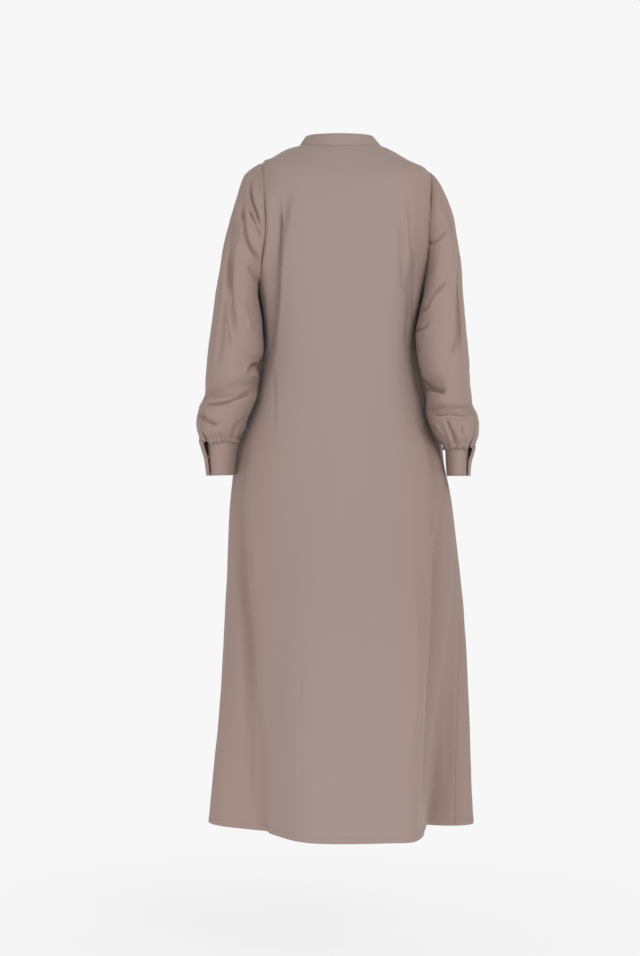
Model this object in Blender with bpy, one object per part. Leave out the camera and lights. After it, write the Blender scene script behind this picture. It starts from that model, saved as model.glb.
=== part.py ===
"""A long A-line abaya with a band collar, a lapped and buttoned front, and full sleeves
gathered into cuffs. It keeps the hollow form that it has when worn, with nobody in it.

Metres, +Z up. The wearer faces -Y, and +X is the wearer's left. The origin is midway
between the tops of the two shoulders, where the wearer carries the cloth.
"""

import math

import bmesh
import bpy
import numpy as np
from mathutils import Matrix

# Cloth and seams
CLOTH = 0.0018  # wall of one layer
BAND_CLOTH = 0.0024  # wall of a folded band: collar and cuffs
SEAM_GAP = 0.0008  # between two pieces along a seam, measured along the cloth
LAYER_GAP = 0.0004  # between two layers that lie on each other
LAP = 0.0155  # half the width of the front lap
PLACKET_BELOW_COLLAR = 0.0022

# Where the rows of the body's grid fall, counted in rings from the neck
SHOULDER_RING, UNDERARM_RING = 3, 6
YOKE_ROWS, ARMHOLE_ROWS = 4, 12
LOWER_ROWS = (6.5, 7, 7.5, 8, 8.5, 9, 9.5, 10, 10.5, 11, 12, 13, 14)
BACK_COLUMNS, FRONT_COLUMNS, LAP_COLUMNS = 28, 10, 4
# The body's panels and the sleeves are cut across into sections, by ring, so that the collision
# pieces of each one keep close to its wall. The cloth itself has no seam there.
BODY_SECTIONS = {"bodice": (0, 6.5), "hips": (6.5, 11), "skirt": (11, 14)}
SLEEVE_CUT_RING = 6

# The body's horizontal rings. A ring's sides are at z_left and z_right, its middles at z_back and
# z_front; left, right, back and front are its reaches from the centre line, and square its corners.
BODY_COLUMNS = ("z_left", "z_right", "z_back", "z_front", "left", "right", "back", "front", "square")
BODY_RINGS = {
    "neck": (0.000, 0.000, -0.008, -0.074, 0.079, 0.080, 0.060, 0.070, 2.0),
    "yoke_high": (-0.007, -0.009, -0.033, -0.094, 0.104, 0.101, 0.076, 0.086, 2.0),
    "yoke_low": (-0.019, -0.025, -0.066, -0.120, 0.136, 0.132, 0.094, 0.102, 2.1),
    "shoulder": (-0.030, -0.047, -0.108, -0.152, 0.152, 0.172, 0.107, 0.117, 2.3),
    "blade": (-0.100, -0.107, -0.166, -0.196, 0.174, 0.183, 0.115, 0.128, 2.35),
    "armpit": (-0.190, -0.194, -0.224, -0.238, 0.171, 0.180, 0.119, 0.136, 2.35),
    "underarm": (-0.286, -0.286, -0.286, -0.286, 0.158, 0.160, 0.121, 0.139, 2.3),
    "ribs": (-0.370, -0.370, -0.370, -0.370, 0.153, 0.153, 0.121, 0.138, 2.3),
    "waist": (-0.450, -0.450, -0.450, -0.450, 0.159, 0.159, 0.122, 0.137, 2.25),
    "high_hip": (-0.525, -0.525, -0.525, -0.525, 0.178, 0.177, 0.128, 0.141, 2.2),
    "hip": (-0.600, -0.600, -0.600, -0.600, 0.197, 0.196, 0.136, 0.148, 2.15),
    "thigh": (-0.700, -0.700, -0.700, -0.700, 0.2155, 0.2205, 0.146, 0.157, 2.1),
    "knee": (-0.880, -0.880, -0.880, -0.880, 0.224, 0.244, 0.159, 0.170, 2.05),
    "calf": (-1.100, -1.100, -1.102, -1.101, 0.239, 0.259, 0.172, 0.184, 2.0),
    "hem": (-1.325, -1.331, -1.330, -1.330, 0.259, 0.271, 0.184, 0.196, 2.0),
}
# Folds press the body's wall in by depth, and along it by turn, between two heights. An angle is
# measured round the body from the centre back, towards the wearer's left; back_width and
# front_width are a fold's two half widths in degrees.
FOLD_COLUMNS = (
    "start_z", "full_z", "fade_z", "end_z",
    "start_angle", "end_angle", "back_width", "front_width", "depth", "turn",
)  # fmt: skip
BODY_FOLDS = {
    "right_back_deep": (-0.62, -1.50, -1.60, -1.70, -80, -80, 45, 19, 0.112, -0.055),
    "right_back_line": (-0.44, -0.62, -1.10, -1.45, -75, -62, 10, 10, 0.011, 0.0),
    "right_back_ridge": (-0.50, -0.90, -1.50, -1.60, -58, -38, 13, 13, -0.007, 0.0),
    "left_back_flat": (-0.60, -1.45, -1.50, -1.60, 68, 66, 54, 30, 0.070, 0.0),
    "left_back_line": (-0.52, -0.66, -1.50, -1.60, 77, 62, 10, 10, 0.010, 0.0),
    "left_blade_line": (-0.07, -0.16, -0.34, -0.47, 47, 68, 10, 10, 0.013, 0.0),
    "right_blade_line": (-0.12, -0.24, -0.34, -0.50, -62, -70, 11, 11, 0.009, 0.0),
    "left_arm_press": (-0.28, -0.40, -0.50, -0.60, 84, 84, 30, 30, 0.010, 0.0),
    "right_arm_press": (-0.28, -0.40, -0.54, -0.60, -78, -72, 30, 26, 0.014, 0.0),
    "left_arm_front": (-0.33, -0.40, -0.565, -0.70, 104, 101, 17, 34, -0.0145, 0.0),
    "right_arm_front": (-0.33, -0.40, -0.565, -0.68, -103, -101, 15, 34, -0.0125, 0.0),
    "left_front_side": (-0.40, -1.15, -1.50, -1.60, 118, 122, 15, 15, 0.034, 0.0),
    "left_front_inner": (-0.24, -1.10, -1.50, -1.60, 148, 152, 12, 12, 0.026, 0.0),
    "right_front_inner": (-0.24, -1.10, -1.50, -1.60, -146, -148, 13, 13, 0.030, 0.0),
    "right_front_side": (-0.46, -1.20, -1.50, -1.60, -120, -123, 13, 13, 0.028, 0.0),
}
# How far the armhole seam is cut into the back and the front, in degrees round the body, and how
# gently it gets there from the shoulder and from the underarm: at 1 gently, and near 0 at once
ARMHOLE_COLUMNS = ("cut", "upper_curve", "lower_curve")
ARMHOLES = {
    ("left", "back"): (26.5, 0.45, 0.48),
    ("left", "front"): (27, 0.70, 0.70),
    ("right", "back"): (15, 0.70, 0.70),
    ("right", "front"): (27, 0.70, 0.70),
}

# Sleeve rings run from the armhole to the cuff. Each is an oval between an outer and an inner point
# of the arm's silhouette, with its own middle and half depth front to back.
SLEEVE_COLUMNS = ("outer_x", "outer_z", "inner_x", "inner_z", "mid_y", "half_depth", "square")
SLEEVE_RINGS = {
    "left": {
        "armhole": (0.152, -0.030, 0.158, -0.286, 0.000, 0.068, 2.1),
        "cap": (0.185, -0.053, 0.161, -0.293, 0.002, 0.072, 2.1),
        "upper_high": (0.199, -0.096, 0.161, -0.303, 0.006, 0.073, 2.1),
        "upper_low": (0.2135, -0.143, 0.156, -0.316, 0.012, 0.072, 2.1),
        "bicep": (0.2295, -0.2215, 0.152, -0.340, 0.022, 0.069, 2.1),
        "mid": (0.242, -0.300, 0.150, -0.372, 0.033, 0.066, 2.1),
        "elbow_high": (0.252, -0.372, 0.150, -0.404, 0.040, 0.064, 2.1),
        "elbow_low": (0.257, -0.420, 0.160, -0.433, 0.043, 0.063, 2.1),
        "forearm": (0.2595, -0.455, 0.157, -0.459, 0.043, 0.062, 2.1),
        "crease": (0.262, -0.486, 0.161, -0.491, 0.042, 0.059, 2.1),
        "puff_high": (0.272, -0.508, 0.170, -0.512, 0.041, 0.060, 2.2),
        "puff_mid": (0.278, -0.533, 0.182, -0.536, 0.038, 0.059, 2.2),
        "puff_low": (0.276, -0.558, 0.194, -0.559, 0.035, 0.054, 2.1),
        "gather": (0.266, -0.572, 0.200, -0.571, 0.032, 0.044, 2.0),
        "cuff": (0.2595, -0.578, 0.2025, -0.577, 0.030, 0.0385, 2.0),
    },
    "right": {
        "armhole": (0.172, -0.047, 0.160, -0.286, 0.000, 0.068, 2.1),
        "cap": (0.190, -0.067, 0.162, -0.293, 0.002, 0.072, 2.1),
        "upper_high": (0.208, -0.104, 0.161, -0.304, 0.006, 0.073, 2.1),
        "upper_low": (0.222, -0.145, 0.157, -0.316, 0.012, 0.072, 2.1),
        "bicep": (0.235, -0.2215, 0.152, -0.340, 0.022, 0.069, 2.1),
        "mid": (0.239, -0.300, 0.147, -0.368, 0.033, 0.066, 2.1),
        "elbow_high": (0.246, -0.378, 0.150, -0.412, 0.040, 0.064, 2.1),
        "elbow_low": (0.250, -0.425, 0.157, -0.445, 0.043, 0.062, 2.1),
        "forearm": (0.251, -0.468, 0.167, -0.474, 0.043, 0.060, 2.1),
        "crease": (0.255, -0.505, 0.169, -0.508, 0.042, 0.056, 2.1),
        "puff_high": (0.264, -0.523, 0.170, -0.527, 0.041, 0.058, 2.2),
        "puff_mid": (0.269, -0.546, 0.175, -0.548, 0.039, 0.057, 2.2),
        "puff_low": (0.266, -0.568, 0.187, -0.570, 0.037, 0.052, 2.1),
        "gather": (0.256, -0.583, 0.201, -0.584, 0.034, 0.044, 2.0),
        "cuff": (0.250, -0.589, 0.2055, -0.589, 0.032, 0.0375, 2.0),
    },
}
UPPER_SLEEVE_ROWS = (0, 0.5, 1, 1.5, 2, 2.5, 3, 4, 5, 6, 6.6, 7.2, 7.8, 8.4, 9)
LOWER_SLEEVE_ROWS = (9.5, 10, 10.6, 11.2, 11.8, 12.4, 13, 14)
SLEEVE_BLEND_RINGS = 4.0  # how far the armhole's own outline fades down the sleeve
# Creases press the sleeve's wall in. An angle runs round the arm from its outer side over the back.
CREASE_COLUMNS = ("start_angle", "end_angle", "start_ring", "end_ring", "half_width", "half_length", "depth")
SLEEVE_CREASES = {
    "left": {
        "outer_valley": (52, 60, 2.2, 6.4, 14, 1.2, 0.006),
        "elbow_notch": (155, 195, 6.9, 6.9, 34, 0.7, 0.013),
        "above_puff": (20, 165, 9.3, 8.3, 30, 0.8, 0.010),
        "front_elbow": (255, 300, 6.5, 7.0, 40, 1.1, 0.010),
    },
    "right": {
        "outer_valley": (42, 50, 2.0, 6.0, 13, 1.2, 0.006),
        "elbow_notch": (125, 185, 8.0, 7.8, 34, 0.8, 0.012),
        "above_puff": (30, 150, 9.7, 9.5, 30, 0.7, 0.009),
        "front_elbow": (250, 300, 6.3, 6.8, 40, 1.1, 0.010),
    },
}
GATHERS = 12  # round each cuff
GATHER_DEPTH = 0.0024
GATHER_START_RING, GATHER_FULL_RING = 10.0, 13.0
SLIT_COLUMN = 2  # of the sleeve's upper columns, counted over the back
SLIT_OPENING = 0.0035
SLIT_STEP = 0.0030  # the front edge of the slit stands out over the back edge

# Collar
COLLAR_HEIGHT_BACK, COLLAR_HEIGHT_SIDE, COLLAR_HEIGHT_FRONT = 0.0250, 0.0185, 0.0240
# How far the top edge is closer to the neck than the seam is
COLLAR_LEAN_MIDDLE, COLLAR_LEAN_LEFT, COLLAR_LEAN_RIGHT = 0.004, 0.012, 0.0155
COLLAR_OVER_SHARE = 0.66  # of the lap's thickness, taken up by the end that lies outside

# Cuffs
CUFF_HEIGHT = {"left": 0.0665, "right": 0.056}
CUFF_TAPER = {"left": 0.0060, "right": 0.0030}
CUFF_UNDER_ANGLE, CUFF_OVER_ANGLE = 8.0, 394.0
CUFF_STEPS, CUFF_ROWS = 36, 6
# The end that laps over stands off the arm's outer side, most at the top of the cuff
FLARE = {"left": 0.014, "right": 0.012}
FLARE_DOWN = (1.0, 0.60, 0.33, 0.28, 0.30)  # its share at even steps down the cuff
FLARE_START_ANGLE, FLARE_FULL_ANGLE = 325, 375
FLARE_START_RING = 12.0

# Buttons
BUTTON_RADIUS, BUTTON_THICKNESS, BUTTON_RIM = 0.0058, 0.0026, 0.0006
BUTTON_SIDES = 16
FRONT_BUTTONS = 9
FIRST_BUTTON_BELOW_NECK, BUTTON_SPACING = 0.085, 0.110
CUFF_BUTTON_ANGLE, CUFF_BUTTON_DOWN = 22.0, 0.45  # on the end that lies inside

CLOTH_COLOUR = (0.365, 0.285, 0.238, 1.0)
BUTTON_COLOUR = (0.250, 0.190, 0.155, 1.0)
SIDES = {"left": 1.0, "right": -1.0}
STEP_ANGLE, STEP_RING = 0.05, 0.002  # for measuring a surface's slope


def as_columns(names, rows):
    """A table of rows as one array for each named column."""
    values = np.array(list(rows.values()), float)
    return {name: values[:, i] for i, name in enumerate(names)}


BODY = as_columns(BODY_COLUMNS, BODY_RINGS)
FOLDS = as_columns(FOLD_COLUMNS, BODY_FOLDS)
SLEEVES = {side: as_columns(SLEEVE_COLUMNS, rows) for side, rows in SLEEVE_RINGS.items()}
CREASES = {side: as_columns(CREASE_COLUMNS, rows) for side, rows in SLEEVE_CREASES.items()}
EDGES = {edge: dict(zip(ARMHOLE_COLUMNS, row)) for edge, row in ARMHOLES.items()}


def smooth_step(t):
    t = np.clip(t, 0, 1)
    return t * t * (3 - 2 * t)


def bump(t):
    """1 in the middle, 0 from -1 and 1 outwards, round all over."""
    return np.where(np.abs(t) < 1, np.cos(np.pi / 2 * np.clip(t, -1, 1)) ** 2, 0.0)


def spline(values, at):
    """A smooth curve through evenly spaced values, read at fractional places."""
    at = np.clip(np.asarray(at, float), 0, len(values) - 1)
    i = np.clip(at.astype(int), 0, len(values) - 2)
    t = at - i
    padded = np.concatenate([[2 * values[0] - values[1]], values, [2 * values[-1] - values[-2]]])
    before, start, end, after = (padded[i + k] for k in range(4))
    return (
        start
        + 0.5 * t * (end - before)
        + t * t * (before - 2.5 * start + 2 * end - 0.5 * after)
        + t * t * t * (1.5 * (start - end) + 0.5 * (after - before))
    )


def body_folds(angle, z):
    """How far the folds press the body's wall in, and turn it, at an angle in degrees and a height."""
    pressed, turned = np.zeros_like(z), np.zeros_like(z)
    for i in range(len(FOLDS["depth"])):
        f = {name: values[i] for name, values in FOLDS.items()}
        down = np.clip((f["start_z"] - z) / (f["start_z"] - max(f["end_z"], BODY["z_back"][-1])), 0, 1)
        middle = f["start_angle"] + (f["end_angle"] - f["start_angle"]) * down
        grown = smooth_step((f["start_z"] - z) / (f["start_z"] - f["full_z"]))
        grown = grown * (1 - smooth_step((f["fade_z"] - z) / (f["fade_z"] - f["end_z"])))
        away = (angle - middle + 180) % 360 - 180
        width = np.where(away * f["start_angle"] < 0, f["back_width"], f["front_width"])
        strength = grown * bump(away / width)
        pressed += strength * f["depth"]
        turned += strength**2 * f["turn"]
    return pressed, turned


def body_point(angle, ring):
    """A point of the body's mid surface, at an angle from the centre back and a ring from the neck."""
    angle, ring = np.broadcast_arrays(np.asarray(angle, float), np.asarray(ring, float))
    c = {name: spline(values, ring) for name, values in BODY.items()}
    s, k = np.sin(np.radians(angle)), np.cos(np.radians(angle))
    wide = np.where(s > 0, c["left"], c["right"])
    deep = np.where(k > 0, c["back"], c["front"])
    reach = (np.abs(s / wide) ** c["square"] + np.abs(k / deep) ** c["square"]) ** (-1 / c["square"])
    z_side = np.where(s > 0, c["z_left"], c["z_right"])
    z = z_side + (np.where(k > 0, c["z_back"], c["z_front"]) - z_side) * k * k
    pressed, turned = body_folds(angle, z)
    reach = reach - pressed
    return np.stack([reach * s + turned * k, reach * k - turned * s, z], axis=-1)


def slope_normal(surface, u, v, step_u, step_v):
    """The unit normal of a surface given as a function of two parameters."""
    along_u = surface(u + step_u, v) - surface(u - step_u, v)
    along_v = surface(u, v + step_v) - surface(u, v - step_v)
    normal = np.cross(along_u, along_v)
    return normal / np.linalg.norm(normal, axis=-1, keepdims=True)


def body_normal(angle, ring):
    last = len(BODY["z_back"]) - 1 - STEP_RING
    return slope_normal(body_point, angle, np.clip(ring, STEP_RING, last), STEP_ANGLE, STEP_RING)


def unit(vectors):
    return vectors / np.linalg.norm(vectors, axis=-1, keepdims=True)


# The armhole seams, which the body's panels and the sleeves share


def armhole_rings():
    return np.linspace(SHOULDER_RING, UNDERARM_RING, ARMHOLE_ROWS + 1)


def armhole_angle(side, part, ring):
    """The angle, without sign, of a panel's edge: the side seam, or the armhole cut into the panel."""
    t = np.clip((ring - SHOULDER_RING) / (UNDERARM_RING - SHOULDER_RING), 0, 1)
    edge = EDGES[side, part]
    arc = np.where((t > 0) & (t < 1), np.sin(np.pi * t), 0)
    cut = edge["cut"] * arc ** np.where(t < 0.5, edge["upper_curve"], edge["lower_curve"])
    return 90 - cut if part == "back" else 90 + cut


def armhole_loop(side):
    """(angles, rings) round an armhole: from the shoulder down the back edge and up the front edge."""
    rings = armhole_rings()
    back = armhole_angle(side, "back", rings)
    front = armhole_angle(side, "front", rings)
    angles = np.concatenate([back, front[::-1][1:-1]]) * SIDES[side]
    return angles, np.concatenate([rings, rings[::-1][1:-1]])


SLEEVE_COLUMNS_ROUND = 2 * ARMHOLE_ROWS


def oval(side, column, ring):
    """The plain oval of a sleeve ring, and the unit direction out of it, at a column of the sleeve."""
    c = {name: spline(values, ring) for name, values in SLEEVES[side].items()}
    turn = np.radians(column * 360 / SLEEVE_COLUMNS_ROUND)
    cos, sin = np.cos(turn), np.sin(turn)
    reach = (np.abs(cos) ** c["square"] + np.abs(sin) ** c["square"]) ** (-1 / c["square"])
    zero = np.zeros_like(cos)
    sign = SIDES[side]
    middle = np.stack(
        [sign * (c["outer_x"] + c["inner_x"]) / 2, c["mid_y"] + zero, (c["outer_z"] + c["inner_z"]) / 2], -1
    )
    out = np.stack(
        [
            sign * cos * (c["outer_x"] - c["inner_x"]) / 2,
            sin * c["half_depth"],
            cos * (c["outer_z"] - c["inner_z"]) / 2,
        ],
        -1,
    )
    return middle + reach[..., None] * out, unit(out)


def armhole_offsets(side):
    """How far the body's armhole departs from the sleeve's first oval, at each column."""
    angles, rings = armhole_loop(side)
    plain, _ = oval(side, np.arange(SLEEVE_COLUMNS_ROUND, dtype=float), np.zeros(SLEEVE_COLUMNS_ROUND))
    return body_point(angles, rings) - plain


OFFSETS = {side: armhole_offsets(side) for side in SIDES}


def sleeve_creases(side, column, ring):
    """How far the creases and the gathers press the sleeve's wall in."""
    angle = (column * 360 / SLEEVE_COLUMNS_ROUND) % 360
    pressed = np.zeros_like(angle)
    for i in range(len(CREASES[side]["depth"])):
        f = {name: values[i] for name, values in CREASES[side].items()}
        span = (f["end_angle"] - f["start_angle"], f["end_ring"] - f["start_ring"])
        # Distances are counted in half widths and half lengths, to the nearest point of the crease.
        du, dv = (angle - f["start_angle"]) / f["half_width"], (ring - f["start_ring"]) / f["half_length"]
        su, sv = span[0] / f["half_width"], span[1] / f["half_length"]
        t = np.clip((du * su + dv * sv) / (su * su + sv * sv), 0, 1)
        pressed += f["depth"] * bump(np.hypot(du - t * su, dv - t * sv))
    gathered = smooth_step((ring - GATHER_START_RING) / (GATHER_FULL_RING - GATHER_START_RING))
    return pressed + GATHER_DEPTH * gathered * np.cos(GATHERS * np.radians(angle))


def sleeve_point(side, column, ring):
    """A point of a sleeve's mid surface. Columns run from the arm's outer side over its back."""
    column, ring = np.broadcast_arrays(np.asarray(column, float), np.asarray(ring, float))
    point, out = oval(side, column, ring)
    fade = (1 - np.clip(ring / SLEEVE_BLEND_RINGS, 0, 1)) ** 2
    places = np.arange(SLEEVE_COLUMNS_ROUND + 1)
    offsets = np.concatenate([OFFSETS[side], OFFSETS[side][:1]])
    round_place = column % SLEEVE_COLUMNS_ROUND
    shift = np.stack([np.interp(round_place, places, offsets[:, k]) for k in range(3)], -1)
    return point + shift * fade[..., None] - out * sleeve_creases(side, column, ring)[..., None]


def flare(side, turn):
    """How far the slit's front edge and the cuff's end below it stand off, outwards in X."""
    grown = smooth_step((turn - FLARE_START_ANGLE) / (FLARE_FULL_ANGLE - FLARE_START_ANGLE))
    zero = np.zeros_like(grown)
    return np.stack([SIDES[side] * FLARE[side] * grown, zero, zero], -1)


def sleeve_normal(side, column, ring):
    last = len(SLEEVES[side]["outer_x"]) - 1 - STEP_RING
    step = STEP_ANGLE * SLEEVE_COLUMNS_ROUND / 360

    def surface(u, v):
        return sleeve_point(side, u, v)

    return -SIDES[side] * slope_normal(surface, column, np.clip(ring, STEP_RING, last), step, STEP_RING)


# Making walls


def pull_edge(points, normals, inside, distance, closed=False):
    """Moves a line of edge points into the cloth, square to the edge, towards the points inside it."""
    if closed:
        along = np.roll(points, -1, axis=0) - np.roll(points, 1, axis=0)
    else:
        along = np.gradient(points, axis=0)
    across = unit(np.cross(normals, along))
    across *= np.sign((across * (inside - points)).sum(-1, keepdims=True))
    return points + across * distance


def pull_in(points, normals, distance, edges):
    """Moves the named edges of a grid of points (top, bottom, first, last) into the cloth."""
    moved = points.copy()
    lines = {"top": (0, 1), "bottom": (-1, -2)}
    for edge in edges:
        if edge in lines:
            at, beside = lines[edge]
            moved[at] = pull_edge(moved[at], normals[at], points[beside], distance)
    for edge, (at, beside) in {"first": (0, 1), "last": (-1, -2)}.items():
        if edge in edges:
            moved[:, at] = pull_edge(moved[:, at], normals[:, at], points[:, beside], distance)
    return moved


def grid_faces(rows, columns, start=0):
    """The quads of a grid whose points are numbered row by row."""
    return [
        (
            start + r * columns + c,
            start + (r + 1) * columns + c,
            start + (r + 1) * columns + c + 1,
            start + r * columns + c + 1,
        )
        for r in range(rows - 1)
        for c in range(columns - 1)
    ]


def split_quads(points, faces):
    """Every quad as two triangles, along its shorter diagonal."""
    split = []
    for f in faces:
        if len(f) == 3:
            split.append(f)
            continue
        a, b, c, d = f
        if np.linalg.norm(points[a] - points[c]) <= np.linalg.norm(points[b] - points[d]):
            split += [(a, b, c), (a, c, d)]
        else:
            split += [(a, b, d), (b, c, d)]
    return split


def make_wall(name, points, normals, faces, thickness, material):
    """A closed solid of even thickness round an open surface, as one named object."""
    points, normals = points.reshape(-1, 3), normals.reshape(-1, 3)
    faces = split_quads(points, faces)
    a, b, c = (points[[f[i] for f in faces]] for i in range(3))
    if (np.cross(b - a, c - a) * normals[[f[0] for f in faces]]).sum() < 0:
        faces = [f[::-1] for f in faces]
    half = normals * thickness / 2
    count = len(points)
    directed = {(f[i], f[(i + 1) % 3]) for f in faces for i in range(3)}
    rim = [(b, a, a + count, b + count) for a, b in sorted(directed) if (b, a) not in directed]
    inner = [tuple(i + count for i in reversed(f)) for f in faces]
    mesh = bpy.data.meshes.new(name)
    mesh.from_pydata(np.concatenate([points + half, points - half]).tolist(), [], faces + inner + rim)
    mesh.materials.append(material)
    mesh.shade_smooth()
    mesh.set_sharp_from_angle(angle=math.radians(50))
    return add_object(name, mesh)


def add_object(name, mesh):
    obj = bpy.data.objects.new(name, mesh)
    bpy.data.collections["abaya"].objects.link(obj)
    return obj


def body_rows():
    yoke = np.linspace(0, SHOULDER_RING, YOKE_ROWS + 1)
    return np.concatenate([yoke, armhole_rings()[1:], LOWER_ROWS])


def seam_normals(angle, ring):
    """The body's normals, turned at the neck and the armholes to halve the angle between two pieces."""
    normals = np.where((ring == 0)[..., None], neck_normal(angle), body_normal(angle, ring))
    for side in SIDES:
        for a, r, n in zip(*armhole_loop(side), ARMHOLE_NORMALS[side]):
            normals[(np.abs(angle - a) < 1e-9) & (np.abs(ring - r) < 1e-9)] = n
    return normals


def armhole_normals(side):
    angles, rings = armhole_loop(side)
    columns = np.arange(SLEEVE_COLUMNS_ROUND, dtype=float)
    return unit(body_normal(angles, rings) + sleeve_normal(side, columns, np.zeros(SLEEVE_COLUMNS_ROUND)))


ARMHOLE_NORMALS = {side: armhole_normals(side) for side in SIDES}


def even_steps(count, start, end):
    """Places between two angles of the hem that share its length, folds included, evenly."""
    fine = np.linspace(start, end, 400)
    line = body_point(fine, len(BODY["z_back"]) - 1.0)
    length = np.concatenate([[0], np.cumsum(np.linalg.norm(np.diff(line, axis=0), axis=1))])
    return np.interp(np.linspace(0, length[-1], count + 1), length, fine)


def back_angles(rings):
    """The back's columns on each of the rings, from the right seam to the left."""
    share = even_steps(BACK_COLUMNS, -90, 90) / 90
    edges = {side: armhole_angle(side, "back", rings)[:, None] for side in SIDES}
    return np.where(share > 0, edges["left"], edges["right"]) * share


def front_angles(side, rings):
    """A front's columns on each of the rings, from the side seam to the near edge of the lap."""
    share = (even_steps(FRONT_COLUMNS, 90, 180) - 90) / 90
    edge = armhole_angle(side, "front", rings)[:, None]
    near = 180 - centre_angle(rings, LAP if side == "left" else LAP + SEAM_GAP)[:, None]
    return SIDES[side] * (edge + (near - edge) * share)


def lap_angles(rings):
    """The lap's columns on each of the rings, from its left edge to its right edge."""
    return 180 + centre_angle(rings, LAP)[:, None] * np.linspace(-1, 1, LAP_COLUMNS + 1)


def centre_angle(rings, x):
    """How far from the centre front, in degrees, the front's wall is at that distance x."""
    return np.degrees(np.arcsin(x / spline(BODY["front"], rings)))


def make_body_panel(name, rings, angle, side_edges, material):
    """A panel of the body, one object for each section, clear of its neighbours at its seams."""
    ring = np.broadcast_to(rings[:, None], angle.shape)
    points, normals = body_point(angle, ring), seam_normals(angle, ring)
    for section, (start, end) in BODY_SECTIONS.items():
        rows = (rings >= start) & (rings <= end)
        edges = ("top", *side_edges) if end == rings[-1] else ("top", "bottom", *side_edges)
        wall = pull_in(points[rows], normals[rows], SEAM_GAP / 2, edges)
        faces = grid_faces(*wall.shape[:2])
        make_wall(f"{name}_{section}", wall, normals[rows], faces, CLOTH, material)


def make_back(material):
    rings = body_rows()
    make_body_panel("back", rings, back_angles(rings), ("first", "last"), material)


def make_fronts(material):
    """The left front runs on under the lap, and the right front ends where the band begins."""
    rings = body_rows()
    left = np.concatenate([front_angles("left", rings), lap_angles(rings)[:, 1:]], axis=1)
    make_body_panel("front_left", rings, left, ("first",), material)
    make_body_panel("front_right", rings, front_angles("right", rings), ("first",), material)


def make_placket(material):
    """The band down the centre front, which lies on the edges of both fronts."""
    rings = body_rows()
    angle = lap_angles(rings)
    ring = np.broadcast_to(rings[:, None], angle.shape)
    normals = body_normal(angle, ring)
    points = pull_in(body_point(angle, ring), normals, PLACKET_BELOW_COLLAR, ("top",))
    points = points + normals * (CLOTH + LAYER_GAP)
    return make_wall("placket", points, normals, grid_faces(*angle.shape), CLOTH, material)


# Collar


def collar_point(angle, up):
    """A point of the collar's mid surface: up is 0 at the neck seam and 1 at the top edge."""
    base = body_point(angle, 0.0)
    s, k = np.sin(np.radians(angle)), np.cos(np.radians(angle))
    middle = np.where(k > 0, COLLAR_HEIGHT_BACK, COLLAR_HEIGHT_FRONT)
    height = COLLAR_HEIGHT_SIDE + (middle - COLLAR_HEIGHT_SIDE) * k * k
    side_lean = np.where(s > 0, COLLAR_LEAN_LEFT, COLLAR_LEAN_RIGHT)
    lean = side_lean + (COLLAR_LEAN_MIDDLE - side_lean) * k * k
    rise = np.stack([-s * lean, -k * lean, height], -1)
    return base + rise * np.asarray(up, float)[..., None]


def collar_normal(angle):
    """The unit normal of the collar's wall, outwards."""
    rise = unit(collar_point(angle, 1.0) - collar_point(angle, 0.0))
    around = collar_point(angle + 1, 0.5) - collar_point(angle - 1, 0.5)
    radial = np.stack([np.sin(np.radians(angle)), np.cos(np.radians(angle)), 0.0 * angle], -1)
    normal = unit(np.cross(rise, around))
    return normal * np.sign((normal * radial).sum(-1, keepdims=True))


def neck_normal(angle):
    """The direction that halves the angle between the body's cloth and the collar at the neck seam."""
    return unit(body_normal(angle, 0.0 * angle) + collar_normal(angle))


def collar_shift(angle):
    """How far the collar's ends stand out of its line, so that the right end laps over the left."""
    over, under = smooth_step((-angle - 130) / 35), smooth_step((angle - 130) / 35)
    return (BAND_CLOTH + LAYER_GAP) * (COLLAR_OVER_SHARE * over - (1 - COLLAR_OVER_SHARE) * under)


def make_collar(material):
    """The band collar, whose right end laps over its left end at the centre front."""
    neck = np.zeros(1)
    left = np.concatenate([front_angles("left", neck)[0], lap_angles(neck)[0, 1:]])
    back = back_angles(neck)[0]
    right = np.concatenate([front_angles("right", neck)[0], lap_angles(neck)[0] - 360])
    right = np.sort(right)[::-1]
    angle, up = np.meshgrid(np.concatenate([left[::-1], back[-2:0:-1], right]), [0.0, 0.5, 1.0])
    seam = neck_normal(angle)
    normals = np.where((up == 0)[..., None], seam, collar_normal(angle))
    points = collar_point(angle, up) + seam * collar_shift(angle)[..., None]
    points = pull_in(points, normals, SEAM_GAP / 2, ("top",))
    return make_wall("collar", points, normals, grid_faces(*angle.shape), BAND_CLOTH, material)


# Sleeves and cuffs


def tube_faces(rows):
    """The quads of a closed tube of a sleeve's rings, whose points are numbered ring by ring."""
    around = SLEEVE_COLUMNS_ROUND
    return [
        (r * around + c, (r + 1) * around + c, (r + 1) * around + (c + 1) % around, r * around + (c + 1) % around)
        for r in range(rows - 1)
        for c in range(around)
    ]


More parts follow.
